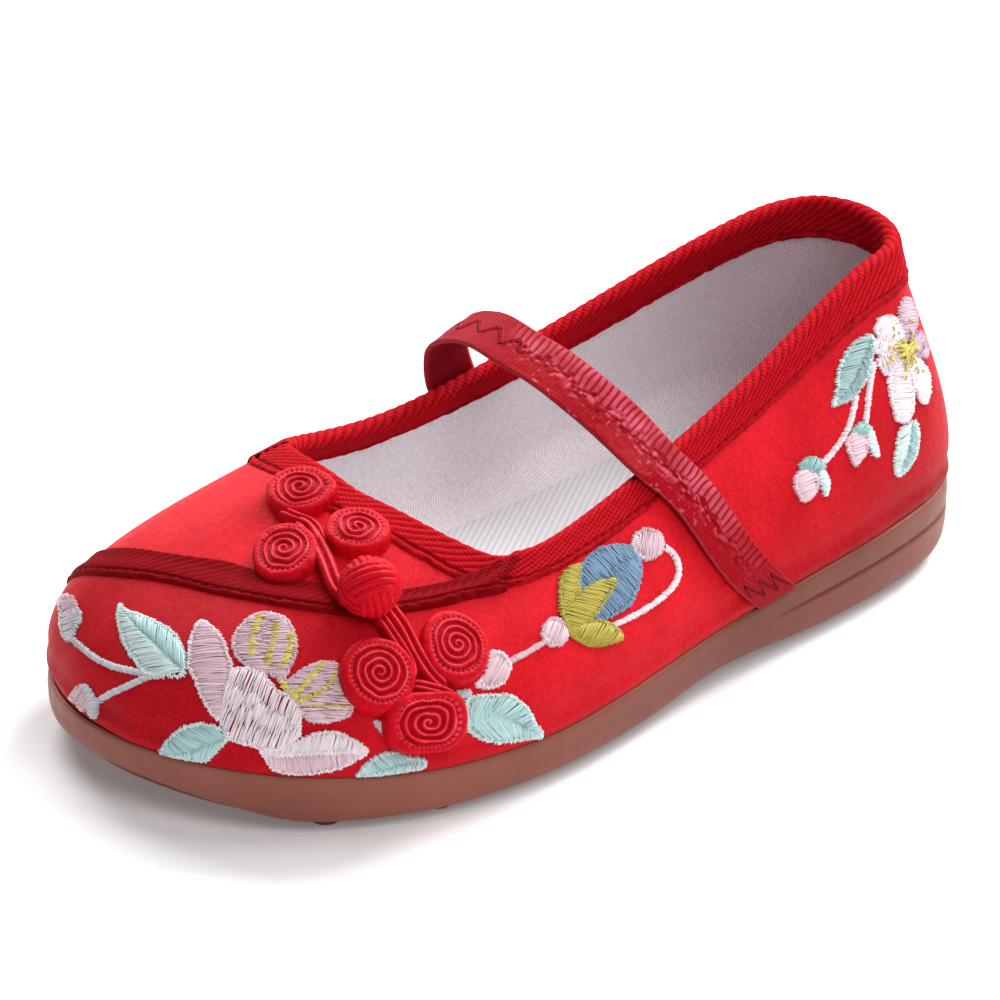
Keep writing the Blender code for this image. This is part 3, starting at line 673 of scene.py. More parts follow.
def lining_material():
    m, b = principled("lining", (0.82, 0.78, 0.80), 0.85, Specular_IOR_Level=0.12)
    across, along = cloth_place(m)
    weave = maths(m, "ADD", ripple(m, across, 0.52),
                  maths(m, "MULTIPLY", ripple(m, along, 0.46), 0.8))
    weave = maths(m, "ADD", weave, maths(m, "MULTIPLY", noise(m, 1500.0, 2.0), 3.0))
    factor = spread(m, weave, 0.2, 2.8)
    shade = node(m, "ShaderNodeVertexColor", layer_name="tone")
    tint = node(m, "ShaderNodeMix", data_type="RGBA", blend_type="MULTIPLY")
    tint.inputs[0].default_value = 1.0
    wire(m, blend_colour(m, factor, (0.66, 0.61, 0.635), (0.99, 0.955, 0.985)), tint.inputs[6])
    wire(m, shade.outputs["Color"], tint.inputs[7])
    wire(m, tint.outputs[2], b.inputs["Base Color"])
    first = bump(m, b, weave, 0.00006, 0.5)
    bump(m, b, noise(m, 1500.0, 3.0, 0.6), 0.00010, 0.6, after=first)
    return m


def twill_material():
    m, b = principled("twill", (0.90, 0.89, 0.92), 0.8, Specular_IOR_Level=0.15)
    across, along = cloth_place(m)
    slant = maths(m, "ADD", maths(m, "MULTIPLY", across, 0.87), maths(m, "MULTIPLY", along, 0.49))
    rib = ripple(m, slant, 1.05)
    wire(m, blend_colour(m, spread(m, rib, -1.0, 1.0), (0.68, 0.675, 0.70), (0.80, 0.795, 0.82)),
         b.inputs["Base Color"])
    first = bump(m, b, rib, 0.00007, 0.5)
    bump(m, b, noise(m, 1400.0, 3.0, 0.6), 0.00012, 0.6, after=first)
    return m


def elastic_material():
    m, b = principled("elastic", (0.38, 0.006, 0.014), 0.50, Specular_IOR_Level=0.04,
                      Specular_Tint=(1.0, 0.24, 0.30, 1.0))
    shade = node(m, "ShaderNodeVertexColor", layer_name="tone")
    grain = spread(m, noise(m, 1500.0, 2.0), 0.2, 0.8)
    dark = node(m, "ShaderNodeMix", data_type="RGBA", blend_type="MULTIPLY")
    dark.inputs[0].default_value = 1.0
    wire(m, shade.outputs["Color"], dark.inputs[6])
    wire(m, blend_colour(m, grain, (0.78, 0.78, 0.78), (1.0, 1.0, 1.0)), dark.inputs[7])
    wire(m, dark.outputs[2], b.inputs["Base Color"])
    bump(m, b, noise(m, 2400.0, 3.0), 0.00009, 0.6)
    return m


def cord_material():
    m, b = principled("cord", (0.62, 0.006, 0.017), 0.46, Specular_IOR_Level=0.09,
                      Specular_Tint=(1.0, 0.18, 0.24, 1.0))
    tone = spread(m, noise(m, 420.0, 3.0), 0.3, 0.7)
    shade = node(m, "ShaderNodeVertexColor", layer_name="tone")
    tint = node(m, "ShaderNodeMix", data_type="RGBA", blend_type="MULTIPLY")
    tint.inputs[0].default_value = 1.0
    wire(m, blend_colour(m, tone, (0.58, 0.0045, 0.0135), (0.72, 0.0080, 0.0210)), tint.inputs[6])
    wire(m, shade.outputs["Color"], tint.inputs[7])
    wire(m, tint.outputs[2], b.inputs["Base Color"])
    first = bump(m, b, noise(m, 2600.0, 3.0, 0.6), 0.00016, 0.8)
    bump(m, b, noise(m, 900.0, 2.0), 0.00025, 0.6, after=first)
    return m


def thread_material():
    m, b = principled("thread", (0.7, 0.6, 0.62), 0.38, Specular_IOR_Level=0.30)
    shade = node(m, "ShaderNodeVertexColor", layer_name="tone")
    wire(m, shade.outputs["Color"], b.inputs["Base Color"])
    bump(m, b, noise(m, 3600.0, 2.0), 0.00005, 0.5)
    return m


def gum_material():
    m, b = principled("gum", (0.20, 0.063, 0.043), 0.42, Specular_IOR_Level=0.16,
                      Subsurface_Weight=0.15, Subsurface_Scale=0.003)
    b.inputs["Subsurface Radius"].default_value = (1.0, 0.42, 0.28)
    tone = spread(m, noise(m, 45.0, 4.0, 0.6), 0.3, 0.7)
    shade = node(m, "ShaderNodeVertexColor", layer_name="tone")
    tint = node(m, "ShaderNodeMix", data_type="RGBA", blend_type="MULTIPLY")
    tint.inputs[0].default_value = 1.0
    wire(m, blend_colour(m, tone, (0.185, 0.056, 0.037), (0.225, 0.071, 0.049)), tint.inputs[6])
    wire(m, shade.outputs["Color"], tint.inputs[7])
    wire(m, tint.outputs[2], b.inputs["Base Color"])
    first = bump(m, b, noise(m, 1400.0, 3.0), 0.00006, 0.5)
    bump(m, b, noise(m, 140.0, 2.0), 0.00025, 0.35, after=first)
    wire(m, spread(m, noise(m, 300.0, 3.0), -1.2, 2.4), b.inputs["Roughness"])
    return m


SATIN, BINDING, LINING = satin_material(), binding_material(), lining_material()
TWILL, ELASTIC, CORD = twill_material(), elastic_material(), cord_material()
THREAD, GUM = thread_material(), gum_material()


# ----------------------------------------------------------- upper and lining
def make_upper():
    n = 560
    u = np.arange(n) / n
    v = np.concatenate([np.linspace(0, 0.12, 16, endpoint=False), np.linspace(0.12, 1, 52)])
    uu, vv = np.meshgrid(u, v, indexing="ij")
    p, _ = skin(uu, vv)
    along = np.linalg.norm(np.diff(p, axis=1), axis=2)
    height = np.concatenate([np.zeros((n, 1)), np.cumsum(along, 1)], 1)
    # painted shade: the satin is darkened low on the wall near the sole, on the toe panel and round the
    # heel, where less light falls; a little random mottling is laid over it
    much, _ = panel(uu, vv)
    toe = np.exp(-((uu - 0.505) / 0.11) ** 4) * np.clip(much * 1.8, 0, 1)
    turn = np.minimum(uu, 1 - uu)
    heel = 1 - step(0.09, 0.25, turn)
    low = np.exp(-(height / 4.2) ** 1.5)
    tone = (1.09 - 0.22 * toe - (0.18 - 0.08 * toe + 0.12 * heel) * low
            - 0.36 * heel * (1 - 0.75 * vv))
    tone = tone * (1 + 0.05 * lattice(uu * 60.0, height / 6.0, 71))
    heap = Heap()
    heap.add(p, grid(n, len(v), wrap_n=True), uv=np.stack([uu * 420.0, height], -1),
             colour=np.repeat(tone.reshape(-1, 1), 3, 1))
    piece("satin_upper", heap, SATIN, ("upper",), flip=True)


def make_lining():
    n, m = 420, 48
    u = np.arange(n + 1) / n
    vg = np.linspace(0.0, 1.0, 240)
    line = wall(u[:, None], vg[None])
    floor = seat(LENGTH / 2 - feather(u)[:, 1]) + 2.34
    first = np.array([np.interp(floor[i] + 0.02, line[i, :, 2], vg) for i in range(n + 1)])
    vv = first[:, None] + (1 - first)[:, None] * np.linspace(0, 1, m)[None] ** 1.25
    uu = np.repeat(u[:, None], m, 1)
    p = wall(uu, vv) - (WALL - 0.05) * wall_normal(uu, vv)
    # a soft cove where the lining turns in over the sock
    radius = 6.0 * step(0.02, 0.10, np.minimum(u, 1 - u) + 0.06)[:, None]
    up = np.clip(p[..., 2] - floor[:, None], 0, None)
    inward = radius - np.sqrt(np.clip(radius ** 2 - np.clip(radius - up, 0, None) ** 2, 0, None))
    p = p - inward[..., None] * feather_normal(u)[:, None]
    p[:, 0, 2] = seat(LENGTH / 2 - p[:, 0, 1]) + 2.33
    along = np.linalg.norm(np.diff(p, axis=1), axis=2)
    height = np.concatenate([np.zeros((n + 1, 1)), np.cumsum(along, 1)], 1)
    round_foot = np.append(0, np.cumsum(np.linalg.norm(np.diff(p[:, 26], axis=0), axis=1)))
    heap = Heap()
    # painted shade: the lining is darkened round the heel, with a warm cast like red light bounced off
    # the satin
    painted_shade = np.exp(-(np.minimum(u, 1 - u) / 0.11) ** 2)[:, None, None]
    tone = 1.06 - painted_shade * np.array([0.30, 0.44, 0.43]) * np.ones((1, m, 1))
    heap.add(p, grid(n + 1, m), uv=np.stack([np.repeat(round_foot[:, None], m, 1), height], -1),
             colour=tone.reshape(-1, 3))
    piece("lining", heap, LINING)


# -------------------------------------------------------------------- binding
RIB_PITCH, RIB_ANGLE = 1.22, math.radians(33)


def ribs(a, w):
    """Raised diagonal ribs of the binding, 0 to 1."""
    x = (w * math.cos(RIB_ANGLE) - a * math.sin(RIB_ANGLE)) / RIB_PITCH
    x = x + 0.06 * lattice(a / 3.1, w / 2.3, 5)
    return np.abs(np.sin(np.pi * x)) ** 0.7


def rib_place(a, w):
    """Across and along the ribs, for the fine beads of the weave."""
    return np.stack([w * math.cos(RIB_ANGLE) - a * math.sin(RIB_ANGLE),
                     w * math.sin(RIB_ANGLE) + a * math.cos(RIB_ANGLE)], -1)


def edge_profile(d, a, seed):
    """Height of the binding near a sewn edge: d is the distance from the edge."""
    roll = 0.42 * (1 - np.exp(-np.maximum(d, 0) / 0.22))
    roll = roll + 0.16 * np.exp(-((d - 0.75) / 0.45) ** 2)
    roll = roll - 0.20 * np.exp(-((d - 1.55) / 0.24) ** 2)
    lumps = lattice(a / 0.85, d / 0.6, seed) * np.exp(-((d - 0.9) / 0.8) ** 2)
    return roll + 0.14 * lumps


def along_collar(u0, u1, gap):
    """Places from u0 to u1 at equal steps along the collar."""
    u = np.linspace(u0, u1, 4000)
    d = np.append(0, np.cumsum(np.linalg.norm(np.diff(collar(u), axis=0), axis=1)))
    n = int(d[-1] / gap)
    a = np.linspace(0, d[-1], n)
    return np.interp(a, d, u), a


def below_collar(u, depth):
    """v at depths (mm, along the wall) below the collar, for each u."""
    vg = np.linspace(0.45, 1.0, 56)
    p = wall(u[:, None], vg[None])
    d = np.concatenate([np.zeros((len(u), 1)), np.cumsum(
        np.linalg.norm(np.diff(p[:, ::-1], axis=1), axis=2), 1)], 1)
    return np.array([np.interp(depth[i], d[i], vg[::-1]) for i in range(len(u))])


def wrap(u, outer, inner):
    """Base surface of a binding that wraps the collar: points, directions, width place."""
    n = len(u)
    wo = np.linspace(0, 1, 38)
    d_out = outer[:, None] * (1 - wo)[None]
    v_out = below_collar(u, d_out)
    uu = np.repeat(u[:, None], len(wo), 1)
    p1, n1 = skin(uu, v_out)
    top, tn = p1[:, -1], n1[:, -1]
    climb = unit(wall(u, 1.0) - wall(u, 0.98))
    thick = WALL + relief(u, np.ones(n), wall(u, 1.0))
    phi = np.linspace(0, np.pi, 15)[1:-1]
    n2 = np.cos(phi)[None, :, None] * tn[:, None] + np.sin(phi)[None, :, None] * climb[:, None]
    p2 = (top - thick[:, None] / 2 * tn)[:, None] + thick[:, None, None] / 2 * n2
    wi = np.linspace(0, 1, 34)
    v_in = below_collar(u, inner[:, None] * wi[None])
    ui = np.repeat(u[:, None], len(wi), 1)
    n3 = -wall_normal(ui, v_in)
    p3 = wall(ui, v_in) + WALL * n3
    p, nn = np.concatenate([p1, p2, p3], 1), np.concatenate([n1, n2, n3], 1)
    gap = np.linalg.norm(np.diff(p, axis=1), axis=2)
    w = np.concatenate([np.zeros((n, 1)), np.cumsum(gap, 1)], 1)
    return p, nn, w


def make_wrapped(name, u, a, outer, inner, lift=0.0, fade_start=None):
    outer = outer + 0.14 * lattice(a / 1.7, a * 0, 21) + 0.10 * lattice(a / 0.6, a * 0, 22)
    inner = inner + 0.14 * lattice(a / 1.7, a * 0, 23) + 0.10 * lattice(a / 0.6, a * 0, 24)
    p, n, w = wrap(u, outer, inner)
    aa = np.repeat(a[:, None], w.shape[1], 1)
    d1, d2 = w, w[:, -1:] - w
    near = np.minimum(d1, d2)
    h = edge_profile(near, aa, 31)
    r = ribs(aa, w) * step(1.5, 2.1, near)
    h = h + 0.22 * r + lift * step(0, 1.0, near)
    # painted shade and highlight: the valleys between the ribs are darkened and the ribs lightened
    tone = 0.36 + 0.76 * r
    hem = 0.80 + 0.22 * lattice(aa / 0.9, w / 0.7, 33)
    tone = hem + (tone - hem) * step(1.35, 1.9, near)
    heap = Heap()
    heap.add(p + h[..., None] * n, grid(*w.shape), uv=rib_place(aa, w),
             colour=np.repeat(tone.reshape(-1, 1), 3, 1))
    return heap, p, n, w


def make_bindings():
    # collar, from the outer throat corner round the heel to the inner throat corner
    u, a = along_collar(NEAR_CORNER + 0.003, FAR_CORNER - 1.0, 0.38)
    heap, p, n, w = make_wrapped("collar", u, a, np.full(len(u), 6.4), np.full(len(u), 6.0))
    piece("collar_binding", heap, BINDING)
    stitch_rows("collar_stitches", [(p, n, w, a)])
    # throat, with its ends tucked under the collar's
    u, a = along_collar(FAR_CORNER + 0.012, NEAR_CORNER - 0.010, 0.38)
    heap, p, n, w = make_wrapped("throat", u, a + 300, np.full(len(u), 6.0),
                                 np.full(len(u), 5.0), lift=-0.16)
    # the fold at the tucked end is painted darker (0.55), as shade where it tucks under the collar's
    # binding
    fold = p[0, :40] + 0.25 * n[0, :40]
    tube(heap, fold, n[0, :40], 0.62, sides=10, flat=0.8, colour=(0.55, 0.55, 0.55))
    piece("throat_binding", heap, BINDING)
    make_diagonal()


def resample(points, gap):
    """Even steps along a (u, v) line, by its length on the upper."""
    t = np.arange(len(points), dtype=float)
    q = np.linspace(0, len(points) - 1, 1200)
    u, v = (natural_spline(t, points[:, k], q) for k in (0, 1))
    v = np.clip(v, 0.0, 1.0)
    d = np.append(0, np.cumsum(np.linalg.norm(np.diff(wall(u, v), axis=0), axis=1)))
    return u, v, d


def make_diagonal():
    back = NEAR_CORNER - np.array([0.034, 0.017, 0.0])
    v_low = below_collar(back, np.full((3, 1), 6.4))[:, 0]
    up = np.vstack([np.stack([back, np.ones(3)], 1), DIAG_U])
    low = np.vstack([np.stack([back, v_low], 1), DIAG_L])
    u1, v1, d1 = resample(up, 0.3)
    u2, v2, d2 = resample(low, 0.3)
    start = np.linalg.norm(np.diff(collar(np.linspace(back[0], NEAR_CORNER, 60)), axis=0),
                           axis=1).sum()
    n = int((d1[-1] + d2[-1]) / 2 / 0.38)
    t = np.linspace(0, 1, n)
    k1, k2 = t * d1[-1], t * d2[-1]
    ua, va = np.interp(k1, d1, u1), np.interp(k1, d1, v1)
    ub, vb = np.interp(k2, d2, u2), np.interp(k2, d2, v2)
    m = 40
    f = np.linspace(0, 1, m)
    uu = ub[:, None] * (1 - f) + ua[:, None] * f
    vv = np.clip(vb[:, None] * (1 - f) + va[:, None] * f, 0, 1)
    p, nn = skin(uu, vv)
    gap = np.linalg.norm(np.diff(p, axis=1), axis=2)
    w = np.concatenate([np.zeros((n, 1)), np.cumsum(gap, 1)], 1)
    a = start - (k1 + k2) / 2
    aa = np.repeat(a[:, None], m, 1)
    d_low, d_up = w, w[:, -1:] - w
    h = edge_profile(d_low, aa, 41)
    r = ribs(aa * 1.25, w * 1.25) * step(1.5, 2.1, d_low) * step(0.0, 0.5, d_up)
    h = h + 0.15 * r
    # it climbs out of the collar's binding and over the end of the throat's
    rise = np.interp(a, (-26.0, -14.0, -1.0, 2.5, start), (0.0, 0.50, 0.50, 0.06, -0.45))
    h = h + rise[:, None] * step(-0.2, 1.6, d_low + np.maximum(aa, 0) * 2)
    h = (h + 0.10) * step(-0.15, 0.45, d_up + np.clip(aa, 0, 1)) - 0.10
    hem = 0.80 + 0.22 * lattice(aa / 0.9, w / 0.7, 33)
    # painted shade: the rib valleys are darkened, and the whole diagonal binding is painted darker (x
    # 0.54) than the collar's for the way the light meets it
    tone = (hem + (0.58 + 0.42 * r - hem) * step(1.35, 1.9, d_low)) * 0.54
    heap = Heap()
    heap.add(p + h[..., None] * nn, grid(n, m), uv=rib_place(aa, w),
             colour=np.repeat(tone.reshape(-1, 1), 3, 1))
    piece("vamp_binding", heap, BINDING, flip=True)
    stitch_rows("vamp_stitches", [(p, nn, w, a)])


def stitch_rows(name, rows):
    """Row of short machine stitches a little inside the lower edge of a binding."""
    heap = Heap()
    for p, n, w, a in rows:
        total = np.abs(a[-1] - a[0])
        count = int(total / 2.1)
        x = np.abs(a - a[0])
        for k in range(count):
            start = (k + 0.15) * 2.1
            q = np.linspace(start, start + 1.75, 6)
            i = np.clip(np.searchsorted(x, q), 0, len(a) - 1)
            pts, nrm = [], []
            for j, ii in enumerate(i):
                d = 1.5 + 0.10 * rng.standard_normal() * 0.5
                pts.append([np.interp(d, w[ii], p[ii, :, c]) for c in range(3)])
                nrm.append([np.interp(d, w[ii], n[ii, :, c]) for c in range(3)])
            pts, nrm = np.array(pts), unit(np.array(nrm))
            lift = 0.16 + 0.16 * np.sin(np.pi * np.linspace(0, 1, 6))
            tube(heap, pts + lift[:, None] * nrm, nrm, 0.14, sides=5,
                 colour=np.array([0.38, 0.005, 0.012]) * (0.8 + 0.4 * rng.random()))
    piece(name, heap, ELASTIC)


# ---------------------------------------------------------------------- sole
def ring_places(stations):
    a = around("along", np.linspace(0, 1, 6001)) * LENGTH
    turn = (1 - np.cos(np.pi * np.arange(stations + 1) / stations)) / 2
    s = a.min() + (a.max() - a.min()) * turn
    return np.concatenate([branch(s, "out"), branch(s[1:-1][::-1], "in")])


def cap_faces(ring, stations, z, fill=12):
    """Grid across a closed ring of points, with heights z(s); ring comes first."""
    points, rows = list(ring), {}
    for i in range(1, stations):
        a, b = ring[i], ring[2 * stations - i]
        cells = [i]
        for k in range(1, fill):
            q = a + (b - a) * k / fill
            q = np.array([q[0], q[1], z(LENGTH / 2 - q[1])])
            cells.append(len(points))
            points.append(q)
        rows[i] = cells + [2 * stations - i]
    quads, tris = [], []
    for i in range(1, stations - 1):
        for k in range(fill):
            quads.append((rows[i][k], rows[i][k + 1], rows[i + 1][k + 1], rows[i + 1][k]))
    for k in range(fill):
        tris.append((0, rows[1][k + 1], rows[1][k]))
        tris.append((stations, rows[stations - 1][k], rows[stations - 1][k + 1]))
    return np.array(points), np.array(quads), np.array(tris)


def make_outsole():
    stations = 170
    ring = ring_places(stations)
    f, n = feather(ring), feather_normal(ring)
    s = LENGTH / 2 - f[:, 1]
    heel = step(0, 1, (HEEL_BAND_END[1] * LENGTH - s)
                / ((HEEL_BAND_END[1] - HEEL_BAND_END[0]) * LENGTH))
    toe = step(0.78, 0.985, s / LENGTH)
    t = np.linspace(0, 1, 64)
    knots = np.linspace(0, 1, len(SIDE))
    out, drop, cut = (smooth(knots, SIDE[:, k], t) for k in range(3))
    rings, tones = [], []
    for o, d, c in zip(out, drop, cut):
        p = f + (o - 0.45 * c * heel - toe * 1.6 * d ** 2.0)[:, None] * n
        p[:, 2] = seat(s) + (tread(s) - seat(s)) * d
        rings.append(p)
        low = step(0.38, 0.44, d) * heel
        tone = np.stack([1.0 + 0.10 * low, 1.0 + 0.02 * low, 1.0 - 0.06 * low], 1)
        # painted shade: darker in the groove of the heel band
        tone = tone * (1.0 - 0.15 * (c / 0.8) * heel)[:, None]
        tone = tone * (1.0 + 0.9 * math.exp(-(d / 0.02) ** 2))
        # painted light: the sole's sides are painted lighter and paler from the waist to the toe
        front = step(0.42, 0.86, s / LENGTH)[:, None]
        tone = tone * (0.93 + front * np.array([[0.42, 0.50, 0.55]]))
        tones.append(tone)
    heap = Heap()
    m = len(ring)
    heap.add(np.array(rings), grid(len(rings), m, wrap_m=True),
             colour=np.array(tones).reshape(-1, 3))
    for k, z in ((0, seat), (-1, tread)):
        p, q, tr = cap_faces(rings[k], stations, z)
        if k == -1:
            q, tr = q[:, ::-1], tr[:, ::-1]
        heap.add(p, q, tr)
    for first, last, edge in NUB_FIELDS:
        rows = int(round((last - first) * LENGTH / NUB_PITCH))
        for row in range(rows + 1):
            sr = (first + (last - first) * row / rows) * LENGTH
            right = feather(branch(sr, "out"))[0] - edge
            left = feather(branch(sr, "in"))[0] + edge
            across = max(int(round((right - left) / NUB_PITCH)), 1)
            for k in range(across + 1):
                add_nub(heap, left + (right - left) * k / across, sr)
    piece("gum_sole", heap, GUM, ("outsole",), sharp=50)


def add_nub(heap, x, s):
    foot = max(float(tread(s)) - 1.6, 0.0)
    root = float(tread(s)) + 1.2
    sides = 20
    rows = ((2.80, root), (2.62, foot + 0.9), (2.42, foot + 0.35), (2.22, foot + 0.08),
            (1.95, foot), (0.9, foot))
    a = 2 * np.pi * np.arange(sides) / sides
    p = [np.stack([x + r * np.cos(a), LENGTH / 2 - s + r * np.sin(a), np.full(sides, z)], 1)
         for r, z in rows]
    p = np.vstack(p + [np.array([[x, LENGTH / 2 - s, foot]])])
    last = (len(rows) - 1) * sides
    i = np.arange(sides)
    tris = np.stack([last + i, np.full(sides, len(p) - 1), last + (i + 1) % sides], 1)
    heap.add(p, grid(len(rows), sides, wrap_m=True), tris)


def make_insole():
    stations = 120
    ring = ring_places(stations)
    heap = Heap()
    rings = []
    for out, z in ((-2.4, 0.3), (-2.4, 1.5), (-2.6, 2.0), (-3.0, 2.25), (-3.6, 2.3)):
        p = feather(ring) + out * feather_normal(ring)
        p[:, 2] = seat(LENGTH / 2 - p[:, 1]) + z
        rings.append(p)
    p = np.array(rings)
    heap.add(p, grid(len(rings), len(ring), wrap_m=True), uv=p[..., :2].reshape(-1, 2))
    for k, rise in ((0, 0.3), (-1, 2.3)):
        p, q, t = cap_faces(rings[k], stations, lambda s: seat(s) + rise, fill=24)
        if k == 0:
            q, t = q[:, ::-1], t[:, ::-1]
        heap.add(p, q, t, uv=p[:, :2])
    piece("insole_cloth", heap, TWILL, ("insole",), flip=True, sharp=60)


# --------------------------------------------------------------------- strap
def strap_path(steps):
    lip, end = STRAP_LIP_ALONG * LENGTH, STRAP_END_ALONG * LENGTH
    v = np.linspace(0.012, 1.0, 7)
    lift = (0.72 + 0.62 * step(0.35, 0.86, v))[:, None]
    knots, alongs = [], []
    for side in ("out", "in"):
        back = 2.4 if side == "in" else 0.0
        u_end, u_lip = float(branch(end - back, side)), collar_branch(lip - back, side)
        if side == "in":
            u_end = u_end % 1.0
        u = u_end + (u_lip - u_end) * v
        p = wall(u, v) + lift * wall_normal(u, v)
        d = wall(u + 1e-4, v) - wall(u - 1e-4, v)
        d *= np.sign(d[:, 1:2]) / np.linalg.norm(d, axis=1)[:, None]
        knots.append(p if side == "out" else p[::-1])
        alongs.append(d if side == "out" else d[::-1])
    arch = np.array([(x, LENGTH / 2 - lip + y, z) for x, y, z in STRAP_ARCH])
    path = np.vstack([knots[0], arch, knots[1]])
    t = np.append(0.0, np.cumsum(np.linalg.norm(np.diff(path, axis=0), axis=1)))
    q = np.linspace(0, t[-1], steps)
    centre = np.stack([natural_spline(t, path[:, k], q) for k in range(3)], 1)
    tangent = unit(np.gradient(centre, axis=0))
    level = np.array([0.0, 1.0, STRAP_TILT]) / math.hypot(1.0, STRAP_TILT)
    width = np.vstack([alongs[0], np.tile(level, (len(arch), 1)), alongs[1]])
    width = np.stack([np.interp(q, t, width[:, k]) for k in range(3)], 1)
    kernel = np.hanning(int(steps * 0.04) | 1)
    kernel /= kernel.sum()
    pad = len(kernel) // 2
    width = np.stack([np.convolve(np.pad(width[:, k], pad, mode="edge"), kernel, "valid")
                      for k in range(3)], 1)
    width = unit(width)
    normal = unit(np.cross(tangent, width))
    if normal[len(normal) // 2, 2] < 0:
        normal = -normal
    a = np.append(0, np.cumsum(np.linalg.norm(np.diff(centre, axis=0), axis=1)))
    return centre, width, normal, a


def make_strap():
    centre, width, normal, a = strap_path(700)
    total = a[-1]
    px = project(centre)
    arch = (a > 0.35 * total) & (a < 0.85 * total)
    flat_far = a[arch][np.argmin(np.abs(px[arch, 0] - 512) + 1e3 * (px[arch, 1] > 420))]
    half, h = STRAP_WIDTH / 2, STRAP_THICK / 2
    w = np.concatenate([[-half], np.linspace(-half + 0.10, half - 0.10, 46), [half]])
    aa, ww = np.meshgrid(a, w, indexing="ij")
    round_edge = np.sqrt(np.clip(1 - np.clip((np.abs(ww) - half + 0.45) / 0.45, 0, 1) ** 2, 0, 1))
    flat = np.maximum(step(flat_far - 1.5, flat_far + 2.5, aa - 0.5 * ww),
                      1 - step(7.5, 10.5, aa))
    # the seam zigzags along the middle; behind it the casing is ruched into a ladder
    x = aa / 5.2 + 0.10 * lattice(aa / 6.0, aa * 0, 50)
    seam = (0.55 + 0.70 * (4 * np.abs(x - np.floor(x) - 0.5) - 1)
            + 0.55 * lattice(aa / 1.3, aa * 0, 58))
    off = ww - seam
    ladder = step(0.15, 0.5, off) * (1 - step(4.5, 4.8, ww)) * (1 - flat)
    x = (aa - 0.20 * ww) / 1.24 + 0.20 * lattice(aa / 2.3, ww / 2.6, 51)
    gap = np.exp(-((x - np.floor(x) - 0.5) * 1.24 / 0.20) ** 2)
    # random patches that vary the painted highlight on the ladder windows and the painted shade along
    # the seam
    patchy_light_and_shade = 0.55 + 0.45 * lattice(aa / 3.3, ww / 2.2, 55)
    middle = np.exp(-((off + 0.75) / 1.25) ** 2) * (1 - flat)
    lumps = lattice(aa / 0.80, ww / 0.68, 52)
    front = (1 - step(-0.4, 0.2, off)) * (1 - flat)
    x = aa / 0.78 + 0.2 * lattice(aa / 2.0, ww / 1.5, 56)
    fine = np.exp(-((x - np.floor(x) - 0.5) / 0.16) ** 2)
    top = h * round_edge
    top = top + round_edge * (ladder * (0.13 * (1 - gap) - 0.09 * gap)
                              + 0.15 * middle * lumps
                              - 0.05 * front * fine + 0.05 * front * lattice(aa / 1.1, ww, 57)
                              - 0.03 * np.exp(-(off / 0.30) ** 2) * (1 - flat)
                              + 0.05 * flat * lattice(aa / 1.2, ww / 1.2, 53))
    # colours: red cloth, a pink painted highlight, a dark red painted shade, and the soft red of the
    # flat ends
    red, highlight_pink = np.array([0.37, 0.0035, 0.010]), np.array([0.76, 0.125, 0.185])
    painted_shade, soft = np.array([0.16, 0.001, 0.004]), np.array([0.34, 0.008, 0.016])
    tone = red[None, None] * np.ones(aa.shape)[..., None]

    def lay(colour, much):
        nonlocal tone
        much = np.clip(much, 0, 1)[..., None]
        tone = tone * (1 - much) + colour * much

    # painted highlight in pink on the ladder windows, the tops of the lumps and specks on the front
    # half, weaker over the first 28 mm of the band; painted shade in the ladder gaps, between the
    # lumps, along the seam and in the fine grooves
    highlight_strength = 0.22 + 0.78 * step(13.0, 28.0, aa)
    lay(highlight_pink, 0.94 * ladder * (1 - gap) * patchy_light_and_shade * highlight_strength)
    lay(painted_shade, 0.72 * ladder * gap)
    lay(highlight_pink, 0.80 * middle * step(0.08, 0.42, lumps) * highlight_strength)
    lay(painted_shade, 0.70 * middle * step(0.2, 0.6, -lumps))
    lay(painted_shade, 0.22 * np.exp(-(off / 0.26) ** 2) * (1 - flat) * (0.5 + 0.5 * patchy_light_and_shade))
    lay(painted_shade, 0.35 * front * fine)
    lay(highlight_pink, 0.65 * step(0.70, 0.85, lattice(aa / 0.7, ww / 0.7, 54)) * front * highlight_strength)
    lay(soft, flat)
    lay(np.array([0.50, 0.06, 0.09]), 0.6 * step(half - 0.35, half - 0.1, np.abs(ww)))
    upper = (centre[:, None] + ww[..., None] * width[:, None] + top[..., None] * normal[:, None])
    wb = np.linspace(half, -half, 14)[1:-1]
    bottom = (centre[:, None] + wb[None, :, None] * width[:, None]
              - (h * np.ones(len(wb)))[None, :, None] * normal[:, None])
    p = np.concatenate([upper, bottom], 1)
    under = np.broadcast_to(np.array([0.30, 0.010, 0.020]), bottom.shape)
    colour = np.concatenate([tone, under], 1)
    n, m = p.shape[:2]
    quads = grid(n, m, wrap_m=True)
    p = p.reshape(-1, 3)
    base = len(p)
    p = np.vstack([p, centre[:1], centre[-1:]])
    colour = np.vstack([colour.reshape(-1, 3), soft, soft])
    i = np.arange(m)
    tris = np.vstack([np.stack([i, (i + 1) % m, np.full(m, base)], 1),
                      np.stack([(n - 1) * m + (i + 1) % m, (n - 1) * m + i,
                                np.full(m, base + 1)], 1)])
    heap = Heap()
    heap.add(p, quads, tris, colour=colour)
    piece("elastic_band", heap, ELASTIC, ("strap",))
    # zigzag stitches at both ends of the band
    heap = Heap()

    def at(s, x):
        k = int(np.clip(np.searchsorted(a, s), 0, len(a) - 1))
        return centre[k] + x * width[k] + (h + 0.02) * normal[k], normal[k]

